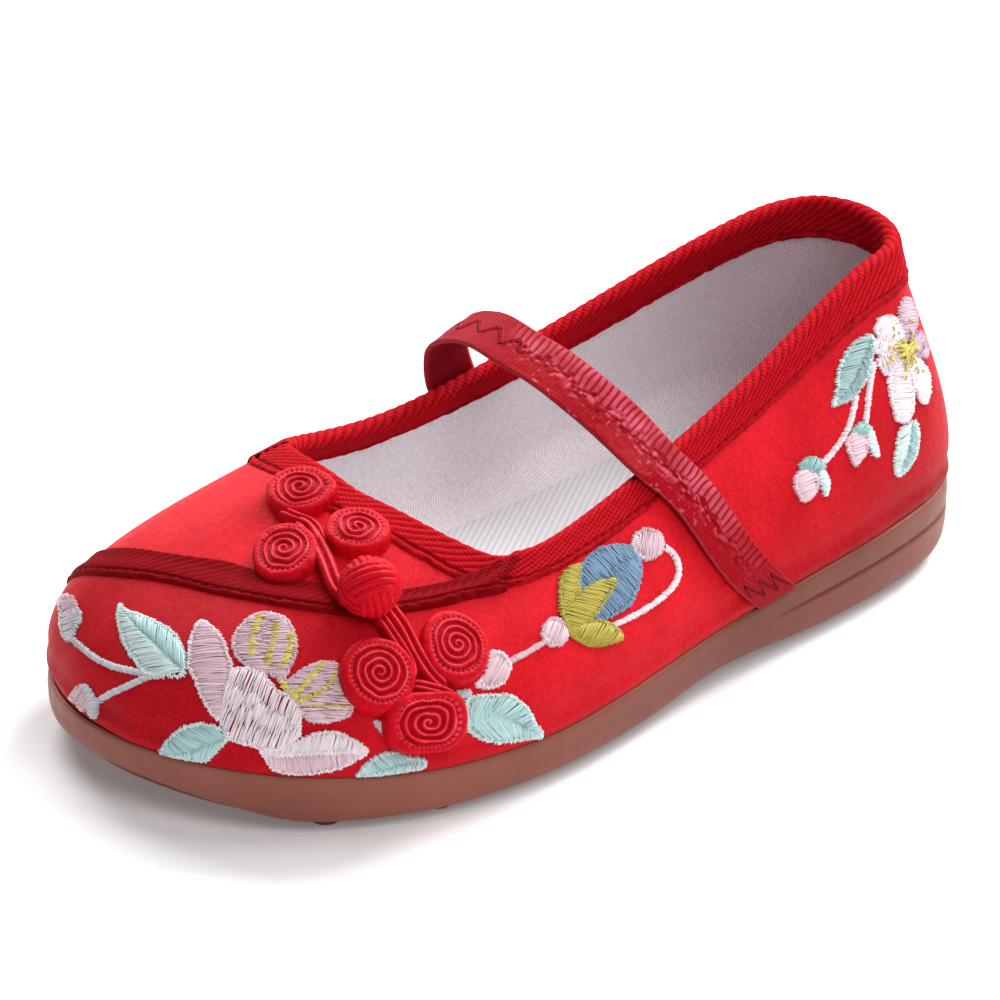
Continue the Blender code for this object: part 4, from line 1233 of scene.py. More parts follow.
    def zig(points, colour):
        pts, nrm = [], []
        for (s0, x0), (s1, x1) in zip(points[:-1], points[1:]):
            for t in np.linspace(0, 1, 14)[:-1]:
                q, n = at(s0 + (s1 - s0) * t, x0 + (x1 - x0) * t)
                pts.append(q)
                nrm.append(n)
        tube(heap, np.array(pts), np.array(nrm), 0.17, sides=5, flat=0.7, colour=colour)

    dark, bright = np.array([0.16, 0.001, 0.005]), np.array([0.44, 0.010, 0.022])
    zig([(1.4, 4.3), (6.6, 2.6), (1.8, 1.3), (7.2, -0.4), (2.4, -1.8), (7.8, -3.6), (4.0, -4.4)],
        dark)
    zig([(3.4, 4.4), (9.0, 2.9), (4.4, 1.6), (9.6, 0.2), (5.0, -1.2), (9.8, -2.8)], bright)
    row = [(flat_far - 3.0, -0.8)]
    for k in range(8):
        row += [(flat_far - 0.8 + 4.7 * k, 1.9), (flat_far + 1.0 + 4.7 * k, -1.3)]
    zig(row, bright)
    zig([(s + 0.55, x - 0.3) for s, x in row], dark)
    piece("band_stitches", heap, ELASTIC)


# ----------------------------------------------------------- cord fastening
def local_frame(u, v):
    """Point, outward direction, and the directions seen as rightward and upward."""
    p, n = skin(np.array(float(u)), np.array(float(v)))
    side = unit(RIGHT - (RIGHT @ n) * n)
    return p, n, side, np.cross(n, side)


def height_field(u, v, reach):
    """The satin round a place as a height over its tangent plane: z = f(x, y)."""
    p, n, a, b = local_frame(u, v)
    uu, vv = np.meshgrid(u + np.linspace(-0.06, 0.06, 61), np.clip(
        v + np.linspace(-0.4, 0.4, 61), 0, 1), indexing="ij")
    q, _ = skin(uu.ravel(), vv.ravel())
    d = q - p
    x, y, z = d @ a, d @ b, d @ n
    keep = np.hypot(x, y) < reach
    x, y, z = x[keep], y[keep], z[keep]
    terms = np.stack([np.ones_like(x), x, y, x * x, x * y, y * y], 1)
    c = np.linalg.lstsq(terms, z, rcond=None)[0]
    return lambda s, t: (c[0] + c[1] * s + c[2] * t + c[3] * s * s + c[4] * s * t
                         + c[5] * t * t)


COIL_PITCH = 1.18


def make_coil(heap, row):
    """Strip of folded satin rolled up on edge: a soft outer roll round a spiral."""
    x, y, width, height, turn, start, oval, oval_at, corner, corner_at, lean = row
    u, v = (q[0] for q in place((x, y), lift=height)[:2])
    p, n, a, b = local_frame(u, v)
    f = height_field(u, v, width * 0.62)
    nt = 204
    theta = 2 * np.pi * np.arange(nt) / nt
    turned = np.angle(np.exp(1j * (theta - corner_at)))
    big = width / 2
    shape = (1 + oval * np.cos(2 * (theta - oval_at)) + corner * np.exp(-(turned / 0.42) ** 2)
             + 0.012 * np.sin(3 * theta + start))
    roll = 0.74
    inner = np.linspace(0.0, big - 2 * roll + 0.10, 40)
    phi = np.linspace(0.25, np.pi, 15)
    r = np.concatenate([inner, (big - roll) - roll * np.cos(phi), [big + 0.02, big + 0.02]])
    rr, tt = np.meshgrid(r, theta, indexing="ij")
    psi = rr / COIL_PITCH - turn * (tt - start) / (2 * np.pi)
    wander = lattice(rr * np.cos(tt) * 0.7 + 40 + start * 9, rr * np.sin(tt) * 0.7 + 40, 61)
    psi = psi + 0.16 * wander * step(0.5, 2.5, rr)
    x = psi - np.floor(psi)
    ridge = np.exp(-((x - 0.5) / 0.21) ** 2)
    xx0, yy0 = rr * np.cos(tt), rr * np.sin(tt)
    lines = 0.5 + 0.5 * np.cos(rr * (tt - turn * start) * 2 * np.pi / 0.64)
    count = round(2 * np.pi * (big - 1.6) / 0.74)
    beads = (np.exp(-((rr - (big - 1.30)) / 0.24) ** 2) * (0.5 + 0.5 * np.cos(count * tt)))
    dome = height - 0.35 * (rr / big) ** 2 + 0.14 * np.sin(tt + start * 2) + 0.08 * wander
    z = dome - 0.36 + 0.34 * ridge * step(0.0, 0.5, rr) + 0.06 * ridge * lines
    k0, k1 = len(inner), len(inner) + len(phi)
    z[k0:k1] = dome[k0:k1] - 0.10 - roll + roll * np.sin(phi)[:, None]
    z = z + 0.14 * beads
    # painted shade and highlight: the grooves between the coils are darkened, the ridges and bead
    # stitches lightened
    tone = 0.55 + 0.63 * ridge
    tone[k0:] = 0.88
    tone = (tone + 0.34 * beads) * (1 + 0.10 * lattice(xx0 * 2.2 + 60, yy0 * 2.2 + 60, 63))
    # painted highlight: a pink glint along the crests and on the bead stitches
    crest = np.exp(-((x - 0.5) / 0.10) ** 2) * (0.75 + 0.25 * lines)
    crest[k0:] = 0
    crest = np.maximum(crest, 0.8 * beads) * (0.8 + 0.35 * lattice(xx0 + 20, yy0 + 20, 64))
    xx, yy = rr * shape[None] * np.cos(tt), rr * shape[None] * np.sin(tt)
    base = f(xx, yy)
    z = z + lean * yy * (z > base)
    z = np.maximum(z, base + 0.05)
    z[-2] = base[-2] + 0.5 * (z[k1 - 1] - base[-2])
    z[-1] = base[-1] - 0.25
    q = p + xx[..., None] * a + yy[..., None] * b + z[..., None] * n
    tint = np.stack([tone + 0.12 * crest, tone ** 2.2 + 15.0 * crest, tone ** 2.0 + 7.6 * crest], -1)
    heap.add(q, grid(len(r), nt, wrap_m=True), colour=tint.reshape(-1, 3))


def make_lead(heap, points, height, half=0.95):
    """Pair of cords sewn down side by side along a line seen at points."""
    u, v, _ = place(points, lift=height)
    t = np.arange(len(u), dtype=float)
    q = np.linspace(0, len(u) - 1, 120)
    u, v = natural_spline(t, u, q), natural_spline(t, v, q)
    p, n = skin(u, v)
    d = unit(np.gradient(p, axis=0))
    s = np.cross(d, n)
    length = np.append(0, np.cumsum(np.linalg.norm(np.diff(p, axis=0), axis=1)))
    edge = 2 * half - 0.04
    x = np.concatenate([[-edge, -edge], np.linspace(-edge, edge, 27)[1:-1], [edge, edge]])
    near = np.minimum(np.abs(x - half), np.abs(x + half)) / half
    shape = 1.15 * half * (np.sqrt(np.clip(1 - (near / 1.08) ** 2, 0, 1)) - 1)
    shape = shape + 0.14 * np.exp(-(near / 0.30) ** 2)
    crest = np.exp(-(near / 0.24) ** 2)
    lines = np.cos(2 * np.pi * length / 0.66)
    # the ends dip under what covers them
    dip = 0.9 * height * (np.exp(-(length / 1.1) ** 2) + np.exp(-((length[-1] - length) / 1.1) ** 2))
    lift = height + shape[None] + 0.06 * lines[:, None] * crest[None] - dip[:, None]
    lift[:, [0, -1]] = -0.2
    points3 = (p[:, None] + x[None, :, None] * s[:, None] + lift[..., None] * n[:, None])
    # painted shade and highlight: darker between and beside the two cords, lighter with a pink glint
    # along each crest
    tone = (0.74 + 0.46 * crest)[None] * np.ones((len(q), 1))
    crest = crest[None] * (0.75 + 0.25 * lines)[:, None]
    c = np.stack([tone + 0.12 * crest, tone ** 2.2 + 12.0 * crest, tone ** 2.0 + 6.2 * crest], -1)
    heap.add(points3, grid(len(q), len(x)), colour=c.reshape(-1, 3))


def make_knot(heap):
    """Ball knot: three bands of cords, each over the next."""
    x, y, width, sink = KNOT
    u, v = (q[0] for q in place((x, y), lift=width / 2)[:2])
    p, n, a, b = local_frame(u, v)
    r = width / 2
    middle = p + (r - sink / 2 - 0.1) * n
    # turned a little so that the cords cross on the side that faces out
    e1 = unit(0.86 * a + 0.30 * b + 0.30 * n)
    e2 = unit(np.cross(n + 0.22 * a - 0.1 * b, e1))
    e3 = np.cross(e1, e2)
    axes = (e1, e2, e3)
    t = np.linspace(0, 2 * np.pi, 84, endpoint=False)
    for k in range(3):
        ax, x, y = axes[k], axes[(k + 1) % 3], axes[(k + 2) % 3]
        for off in (-2.1, -1.05, 0.0, 1.05, 2.1):
            ring = np.cos(t)[:, None] * x + np.sin(t)[:, None] * y
            rad = r - 0.46 + 0.16 * np.cos(2 * t) - 0.08 * np.abs(off)
            level = np.sqrt(np.clip(rad ** 2 - off ** 2, 0.5, None))
            path = middle + level[:, None] * ring + off * ax
            out = unit(path - middle)
            shade = 0.92 + 0.10 * rng.random()
            tube(heap, path, out, 0.60, sides=8, flat=0.75, closed=True,
                 colour=(shade, shade, shade))
    # filling, so that nothing shows through between the cords, painted darker (0.74) as shade in the
    # gaps
    rows, sides = 18, 36
    e = np.linspace(-np.pi / 2 + 0.05, np.pi / 2 - 0.05, rows)
    q = 2 * np.pi * np.arange(sides) / sides
    ball = [middle + (r - 0.34) * (np.cos(x) * (np.cos(q)[:, None] * a + np.sin(q)[:, None] * b)
                                  + np.sin(x) * n) for x in e]
    heap.add(np.array(ball), grid(rows, sides, wrap_m=True), colour=(0.74, 0.7, 0.7))


def make_fastening():
    heap = Heap()
    make_lead(heap, ((288, 523), (299, 520), (311, 530), (321, 548), (329, 567), (338, 587),
                     (352, 603)), 2.0, half=0.66)
    make_lead(heap, ((279, 503), (288, 511), (302, 517), (314, 524), (324, 541)), 2.1, half=0.50)
    for row in FROG_LOOP:
        make_coil(heap, row)
    make_knot(heap)
    piece("cord_loop", heap, CORD, ("frog_loop",))
    heap = Heap()
    make_lead(heap, ((384, 600), (395, 615), (406, 631), (417, 652), (427, 668), (438, 680),
                     (452, 688)), 2.0, half=0.62)
    make_lead(heap, ((372, 608), (383, 621), (394, 637), (404, 652), (411, 668), (410, 684)), 1.9,
              half=0.52)
    make_lead(heap, ((408, 680), (418, 684), (431, 687), (446, 692), (459, 703), (464, 716)), 2.2,
              half=0.44)
    for row in FROG_TAIL:
        make_coil(heap, row)
    piece("cord_tail", heap, CORD, ("frog_tail",))


# ---------------------------------------------------------------- embroidery
PALE_PINK, WHITE_PINK = srgb(233, 202, 211), srgb(243, 229, 235)
MAUVE, GREY = srgb(196, 166, 186), srgb(206, 206, 212)
AQUA, LIGHT_AQUA, DEEP_AQUA = srgb(188, 222, 222), srgb(222, 238, 238), srgb(150, 190, 188)
YELLOW, YELLOW_GREEN, GOLD = srgb(222, 206, 104), srgb(188, 174, 74), srgb(204, 182, 84)
BLUE, PALE_BLUE = srgb(116, 150, 186), srgb(148, 178, 204)
THREAD_PITCH = 0.98


def closed_curve(points, per=6):
    """Smooth closed outline through points."""
    p = np.asarray(points, float)
    t = np.linspace(0, 1, per, endpoint=False)[:, None]
    out = []
    for i in range(len(p)):
        a, b, c, d = p[i - 1], p[i], p[(i + 1) % len(p)], p[(i + 2) % len(p)]
        out.append(0.5 * (2 * b + (c - a) * t + (2 * a - 5 * b + 4 * c - d) * t**2
                          + (3 * b - a - 3 * c + d) * t**3))
    return np.vstack(out)


def open_curve(points, gap):
    """Smooth line through points, at even steps."""
    p = np.asarray(points, float)
    if len(p) == 2:
        fine = p[0] + (p[1] - p[0]) * np.linspace(0, 1, 200)[:, None]
    else:
        t = np.append(0, np.cumsum(np.linalg.norm(np.diff(p, axis=0), axis=1)))
        q = np.linspace(0, t[-1], 400)
        fine = np.stack([natural_spline(t, p[:, k], q) for k in (0, 1)], 1)
    d = np.append(0, np.cumsum(np.linalg.norm(np.diff(fine, axis=0), axis=1)))
    n = max(int(d[-1] / gap), 2)
    s = np.linspace(0, d[-1], n)
    line = np.stack([np.interp(s, d, fine[:, k]) for k in (0, 1)], 1)
    return line, unit(np.gradient(line, axis=0))


def crossings(origin, direction, outline):
    """Distances along a line at which it crosses an outline."""
    a, b = outline, np.roll(outline, -1, 0)
    e = b - a
    det = direction[0] * -e[:, 1] + direction[1] * e[:, 0]
    det = np.where(np.abs(det) < 1e-9, 1e-9, det)
    r = a - origin
    t = (r[:, 0] * -e[:, 1] + r[:, 1] * e[:, 0]) / det
    s = (direction[0] * r[:, 1] - direction[1] * r[:, 0]) / det
    return np.sort(t[(s >= 0) & (s < 1)])


class Stitches:
    """Threads as pairs of frame positions with colour, height and thickness."""

    def __init__(self):
        self.rows, self.sheets = [], []

    def sheet(self, rows, colour):
        """Ground of laid threads below the top ones."""
        if len(rows) > 2:
            self.sheets.append((np.array(rows), colour))

    def thread(self, a, b, colour, rise=0.34, base=0.12, radius=0.135, longest=60.0, rag=1.1,
               lap=0.5):
        a, b = np.asarray(a, float), np.asarray(b, float)
        length = np.linalg.norm(b - a)
        if length < 1.2:
            return
        d = (b - a) / length
        a = a - d * rag * rng.normal(0.2, 0.7)
        b = b + d * rag * rng.normal(0.2, 0.7)
        count = max(int(math.ceil(length / longest)), 1)
        cuts = np.linspace(0, 1, count + 1)
        if count > 1:
            cuts[1:-1] += rng.uniform(-0.28, 0.28, count - 1) / count
        more = 1.6 / length * np.where(rng.random(count + 1) < lap, rng.uniform(0.6, 2.2, count + 1), 0)
        more[[0, -1]] = 0
        for lo, hi in zip(cuts[:-1] - more[:-1], cuts[1:] + more[1:]):
            tone = colour * (1 + rng.normal(0, 0.075)) * (1 + rng.normal(0, 0.018, 3))
            wobble = rng.normal(0, 0.16, 2)
            self.rows.append((a + (b - a) * lo + wobble, a + (b - a) * hi + wobble,
                              np.clip(tone, 0, 1), rise * rng.uniform(0.85, 1.15),
                              base + rng.uniform(-0.02, 0.05),
                              radius * rng.uniform(0.88, 1.1)))

    def across(self, outline, axis, angle, colour, pitch=THREAD_PITCH, passes=1, **more):
        """Threads across an axis, from edge to edge."""
        outline = closed_curve(outline)
        line, tangent = open_curve(axis, pitch)
        for k in range(passes):
            for o, t in zip(line, tangent):
                o = o + t * rng.normal(0, 0.25) + t * pitch * 0.5 * k
                g = math.radians(angle) + rng.normal(0, 0.035)
                d = np.array([t[0] * math.cos(g) - t[1] * math.sin(g),
                              t[0] * math.sin(g) + t[1] * math.cos(g)])
                c = crossings(o, d, outline)
                low, high = c[c < 0], c[c > 0]
                if len(low) and len(high):
                    tone = colour(o) if callable(colour) else colour
                    self.thread(o + d * low[-1], o + d * high[0], tone, **more)

    def leaf(self, outline, rib, angle, left, right, pitch=THREAD_PITCH, edge=None, **more):
        """Two halves of slanting threads that meet along a rib."""
        self.border(outline, left * 1.03 if edge is None else edge)
        outline = closed_curve(outline)
        line, tangent = open_curve(rib, pitch)
        for side, colour in ((1, left), (-1, right)):
            rows = []
            for o, t in zip(line, tangent):
                g = side * math.radians(angle) + rng.normal(0, 0.05)
                d = np.array([t[0] * math.cos(g) - t[1] * math.sin(g),
                              t[0] * math.sin(g) + t[1] * math.cos(g)])
                start = o - d * rng.uniform(0.0, 1.2) + rng.normal(0, 0.2, 2)
                c = crossings(start, d, outline)
                high = c[c > 0.5]
                if len(high):
                    self.thread(start, start + d * high[0], colour, **more)
                    rows.append((start, start + d * high[0] * 0.97))
            # the ground below is painted darker (x 0.86) as shade under the top threads
            self.sheet(rows, colour * 0.86)

    def hatch(self, outline, angle, colour, pitch=THREAD_PITCH, edge=None, ground=0.86, **more):
        """Straight parallel threads that fill an outline."""
        plain = colour(np.mean(outline, 0)) if callable(colour) else colour
        self.border(outline, plain * 1.02 if edge is None else edge, base=more.get("base", 0.2) + 0.1)
        rows = []
        outline = closed_curve(outline)
        g = math.radians(angle)
        d = np.array([math.cos(g), -math.sin(g)])
        e = np.array([-d[1], d[0]])
        middle = outline.mean(0)
        reach = (outline - middle) @ e
        for x in np.arange(reach.min() + 0.6, reach.max() - 0.3, pitch):
            x = x + rng.normal(0, 0.2)
            g2 = rng.normal(0, 0.04)
            d2 = d * math.cos(g2) + e * math.sin(g2)
            c = crossings(middle + x * e, d2, outline)
            if len(c) == 2 and ground:
                rows.append((middle + x * e + d2 * (c[0] + 0.6), middle + x * e + d2 * (c[1] - 0.6)))
            for lo, hi in zip(c[0::2], c[1::2]):
                o = middle + x * e
                tone = colour(o + d2 * (lo + hi) / 2) if callable(colour) else colour
                self.thread(o + d2 * lo, o + d2 * hi, tone, **more)
        # the ground below is painted darker (x ground) as shade under the top threads
        self.sheet(rows, plain * ground)

    def border(self, outline, colour, reach=4.0, pitch=1.25, base=0.30):
        """Short stitches square to an outline, a little over its edge."""
        o = closed_curve(outline, 10)
        ring = np.vstack([o, o[:1]])
        d = np.append(0, np.cumsum(np.linalg.norm(np.diff(ring, axis=0), axis=1)))
        s = np.arange(0, d[-1], pitch)
        at = np.stack([np.interp(s, d, ring[:, k]) for k in (0, 1)], 1)
        t = unit(np.roll(at, -1, 0) - np.roll(at, 1, 0))
        area2 = (o[:, 0] * np.roll(o[:, 1], -1) - np.roll(o[:, 0], -1) * o[:, 1]).sum()
        inward = np.stack([-t[:, 1], t[:, 0]], 1) * np.sign(area2)
        for q, n, along in zip(at, inward, t):
            d2 = unit(n + rng.normal(0, 0.16) * along)
            self.thread(q - d2 * rng.uniform(-0.4, 1.9), q + d2 * reach * rng.uniform(0.4, 1.3),
                        colour, rise=0.18, base=base, radius=0.12, rag=0.2)

    def stem(self, path, width, colour, slant=68, pitch=1.05, **more):
        line, tangent = open_curve(path, pitch)
        for o, t in zip(line, tangent):
            g = math.radians(slant) + rng.normal(0, 0.08)
            d = np.array([t[0] * math.cos(g) - t[1] * math.sin(g),
                          t[0] * math.sin(g) + t[1] * math.cos(g)])
            half = width / 2 * rng.uniform(0.92, 1.08)
            self.thread(o - d * half, o + d * half, colour, rag=0.5, **more)

    def knot(self, at, size, colour, base=0.62):
        """Small bright cross of two or three short threads."""
        for k in range(3):
            g = rng.uniform(0, np.pi)
            d = np.array([math.cos(g), math.sin(g)]) * size * rng.uniform(0.8, 1.1) / 2
            o = np.asarray(at, float) + rng.normal(0, 0.5, 2)
            self.thread(o - d, o + d, colour, rise=0.34, base=base + 0.06 * k, radius=0.27,
                        rag=0.2)

    def chain(self, points, colour, size=10.0, base=0.42, group=5):
        """Column of small blocks, each of a few short stitches side by side."""
        line, tangent = open_curve(points, 1.7)
        shift = 0.0
        for k, (o, t) in enumerate(zip(line, tangent)):
            if k % (group + 1) == 0:
                shift = rng.normal(0, 0.7)
            if k % (group + 1) >= group:
                continue
            d = unit(np.array([1.0, -0.10]) + rng.normal(0, 0.10, 2))
            if abs(t[0]) > 0.85:
                d = unit(np.array([0.40, 1.0]) + rng.normal(0, 0.10, 2))
            o = o + d * (shift + rng.normal(0, 0.5))
            reach = size / 2 * rng.uniform(0.72, 1.12)
            self.thread(o - d * reach, o + d * reach, colour * rng.uniform(0.8, 1.1), rise=0.24,
                        base=base, radius=0.21, rag=0.4)


def round_heel(u):
    """Petals that turn with the heel keep their length there."""
    return np.where(u < 0.085, 0.085 - 0.02 * np.tanh((0.085 - u) / 0.02), u)


def thread_piece(name, stitches, samples=6, sides=4):
    rows = stitches.rows
    a = np.array([r[0] for r in rows])
    b = np.array([r[1] for r in rows])
    tone = np.array([r[2] for r in rows])
    rise, base, radius = (np.array([r[k] for r in rows]) for k in (3, 4, 5))
    t = np.linspace(0, 1, samples)
    px = a[:, None] * (1 - t)[None, :, None] + b[:, None] * t[None, :, None]
    u, v, ok = place(px.reshape(-1, 2), lift=0.55)
    u, v, ok = (x.reshape(len(rows), samples) for x in (u, v, ok))
    keep = []
    index = np.arange(samples)
    for i in range(len(rows)):
        good = index[ok[i]]
        if len(good) < 3:
            continue
        if len(good) < samples:
            q = np.linspace(good[0], good[-1], samples)
            u[i], v[i] = np.interp(q, good, u[i, good]), np.interp(q, good, v[i, good])
        keep.append(i)
    u, v, tone = round_heel(u[keep]), v[keep], tone[keep]
    rise, base, radius = rise[keep], base[keep], radius[keep]
    p, n = skin(u, v)
    reach = np.linalg.norm(p[:, -1] - p[:, 0], axis=1)
    arch = np.sqrt(np.clip(1 - (2 * t - 1) ** 4, 0, 1))
    tall = rise * np.clip(reach / 3.0, 0.45, 1.0)
    lift = base[:, None] - 0.22 * (1 - arch)[None] + tall[:, None] * arch[None]
    path = p + lift[..., None] * n
    tangent = unit(np.gradient(path, axis=1))
    side = unit(np.cross(tangent, n))
    up = np.cross(side, tangent)
    thick = radius[:, None] * (0.62 + 0.38 * np.sin(np.pi * t))[None]
    g = 2 * np.pi * np.arange(sides) / sides
    ring = (np.cos(g)[None, None, :, None] * side[:, :, None]
            + 0.75 * np.sin(g)[None, None, :, None] * up[:, :, None])
    q = path[:, :, None] + thick[:, :, None, None] * ring
    one = grid(samples, sides, wrap_m=True)
    count = len(keep)
    quads = (one[None] + (np.arange(count) * samples * sides)[:, None, None]).reshape(-1, 4)
    heap = Heap()
    heap.add(q, quads, colour=np.repeat(tone, samples * sides, 0))
    for rows, colour in stitches.sheets:
        f = np.linspace(0, 1, 6)[None, :, None]
        px = rows[:, :1] * (1 - f) + rows[:, 1:] * f
        u, v, ok = place(px.reshape(-1, 2), lift=0.2)
        good = ok.reshape(-1, 6).all(1)
        if good.sum() < 3:
            continue
        u, v = round_heel(u.reshape(-1, 6)[good]), v.reshape(-1, 6)[good]
        p, n = skin(u, v)
        heap.add(p + 0.14 * n, grid(len(u), 6), colour=np.clip(colour, 0, 1))
    piece(name, heap, THREAD, flip=True)
    return count


def shade_by(low, high, centre, direction, reach):
    """Colour that changes across the motif."""
    direction = unit(np.asarray(direction, float))

    def colour(o):
        t = np.clip(((np.asarray(o) - centre) @ direction) / reach * 0.5 + 0.5, 0, 1)
        return low * (1 - t) + high * t
    return colour


def toe_embroidery():
    s = Stitches()
    # buds and stems at the toe
    s.hatch(((56, 600), (60, 596), (66.9, 593.7), (72, 596.8), (73.8, 603.7), (73, 612),
             (66, 616), (58, 612)), 28, PALE_PINK * 0.93)
    s.hatch(((58, 612), (66, 612), (74, 606), (77.7, 608.9), (77.2, 617.5), (72.9, 624.4),
             (69.5, 631.3), (65.2, 637), (60, 638), (56, 628)), 22, GREY)
    s.stem(((63.4, 634), (80.7, 647.6), (94.4, 657.1), (115.1, 665.7), (135.8, 670.9),
            (150, 673.5)), 7.6, GREY * 0.97 + AQUA * 0.03)
    s.hatch(((68.6, 689.8), (73.8, 685.5), (79, 686), (83, 695), (84, 706), (78.9, 712.2),
             (73.8, 705.3), (66.9, 700.2)), 60, PALE_PINK * 0.9)
    s.hatch(((76, 686), (80.7, 684.7), (85.8, 691.5), (91, 701.9), (92.7, 712.2), (91.9, 720),
             (85.8, 715), (83, 705), (80, 694)), 20, GREY, base=0.2)
    s.stem(((88.4, 703.5), (108.2, 692), (128.9, 683.8), (146.1, 677), (161.6, 675.2)), 7.0, GREY)
    s.leaf(((119.4, 602.9), (126.3, 608.9), (140.9, 614.9), (156.4, 620.9), (170.2, 629.5),
            (180.5, 641.6), (184.8, 653.7), (185.7, 667.4), (184, 676), (178.8, 677.8),
            (163.3, 676), (146.1, 674.3), (134, 660.5), (126.3, 650.2), (120.3, 636.4),
            (116.8, 622.7), (116, 610.6)),
           ((187.4, 674), (177.1, 665.7), (161.6, 650.2), (144.4, 633), (128.9, 617.5),
            (119.8, 604)), 52, AQUA, LIGHT_AQUA * 0.90, edge=LIGHT_AQUA)
    # flower
    s.hatch(((202.9, 620.9), (209.8, 624.4), (218.4, 633), (225.3, 643.3), (229.6, 657.1),
             (233, 668), (231, 682.9), (226, 697), (223, 710), (218.4, 720), (211.5, 713.9),
             (204.7, 703.6), (197.8, 689.8), (192.6, 676), (187.4, 667.4), (188.3, 657.1),
             (189.2, 643.3), (192.6, 633), (196, 624.4)), 4, PALE_PINK, edge=WHITE_PINK)
    s.hatch(((232.2, 645), (233.9, 636.4), (240.8, 626.1), (251.1, 617.5), (261.5, 614),
             (275.3, 614.9), (285.6, 619.2), (293.3, 629.5), (296.8, 643.3), (295.9, 655.4),
             (290.8, 667.4), (285.6, 677.8), (282.1, 683.5), (275.3, 678), (266.6, 673),
             (258, 671), (249.4, 669), (242.5, 664), (235.7, 657.1)), 2, PALE_PINK * 0.96,
            longest=34)
    s.hatch(((283, 688), (292, 677), (306, 667.5), (318, 662.5), (330, 662), (342, 668),
             (352, 690), (352, 712), (340, 720), (325, 722.5), (308, 721), (299, 710),
             (290, 698)), 0, PALE_PINK * 0.94, longest=30)
    s.chain(((260.6, 617.5), (258.6, 622), (257.2, 626.5), (254.6, 632), (253.7, 643.3),
             (253.2, 650.2), (252, 658)), YELLOW)
    s.chain(((278.7, 624.4), (276.1, 631.3), (274, 640), (271.8, 650.2), (269.2, 658.8),
             (267.2, 665.5)), GOLD * 1.1)
    s.chain(((291.5, 636), (293, 644), (290, 651), (286.3, 658.5), (282.6, 668)), YELLOW)
    s.chain(((322, 664), (317, 670.5), (309.5, 679), (303, 687), (296.5, 693)), YELLOW)
    s.chain(((333.5, 676), (329, 685), (321.5, 692), (312, 696.5), (303, 697), (295.5, 694)),
            GOLD * 1.1, size=6.5)
    s.chain(((284, 684), (290, 692), (296, 697), (302, 703)), YELLOW, size=6.5)
    s.stem(((308, 706.6), (320, 706.8), (334, 706), (345, 707.5)), 3.6, GOLD * 1.12, slant=30,
           pitch=2.2, base=0.45)
    s.hatch(((260.6, 750), (278.8, 748), (295.4, 742), (315.3, 733.1), (331.9, 731.4),
             (348.5, 736.4), (368.4, 751.3), (340, 753), (310, 754), (285, 757), (266, 758)),
            74, WHITE_PINK * 0.93, edge=WHITE_PINK)
    s.hatch(((262, 752), (285, 755), (310, 753), (340, 752), (368.4, 751.3), (355.1, 761.3),
             (338.5, 767.9), (321.9, 771.2), (305.3, 773.5), (285.4, 772.9), (272.2, 767.9)),
            100, PALE_PINK * 0.97, edge=WHITE_PINK)
    s.hatch(((232.2, 670.9), (242.5, 668.3), (252.9, 669.2), (263.2, 671.7), (269.2, 681.2),
             (277, 689.8), (287.3, 695), (295.9, 703.6), (301.1, 713.9), (300.2, 726),
             (299.4, 736.3), (290.8, 743.2), (280.4, 749.2), (266.6, 751), (256.3, 748.4),
             (246, 744.9), (232.2, 740.6), (225.3, 731.1), (220.2, 720.8), (221.9, 708.8),
             (225.3, 691.5), (228.8, 681.2)), 68, WHITE_PINK * 0.97, edge=WHITE_PINK, longest=24,
            base=0.22, pitch=1.02, ground=0, lap=0.62)
    s.leaf(((159, 755.3), (163.3, 744.9), (171.9, 734.6), (184, 726.8), (197.8, 723.4),
            (211.5, 725.1), (221.9, 728.6), (229.6, 736.3), (225.3, 743.2), (215, 753.5),
            (206.4, 760.4), (190.9, 759.6), (173.7, 757.3)),
           ((229.6, 737), (206.4, 745.5), (190.9, 751.8), (163.3, 755)), 52,
           AQUA * 0.92, AQUA * 0.98, edge=LIGHT_AQUA * 0.96)
    s.leaf(((355.7, 774.5), (369.5, 761.7), (381.4, 754.7), (395.2, 752.8), (409.1, 756.7),
            (425.9, 759.7), (420.9, 767.6), (405.1, 771.1), (389.3, 773.5), (373.5, 775.1)),
           ((425, 760.5), (405, 763), (388, 767), (358, 774.4)), 55, AQUA * 0.9, AQUA * 0.9,
           edge=LIGHT_AQUA * 0.95)
    s.hatch(((373.5, 721.1), (387.3, 724.1), (392.3, 734), (395.2, 745.8), (389.3, 741.9),
             (381.4, 732)), 35, GREY * 0.95)
    return thread_piece("toe_embroidery", s)


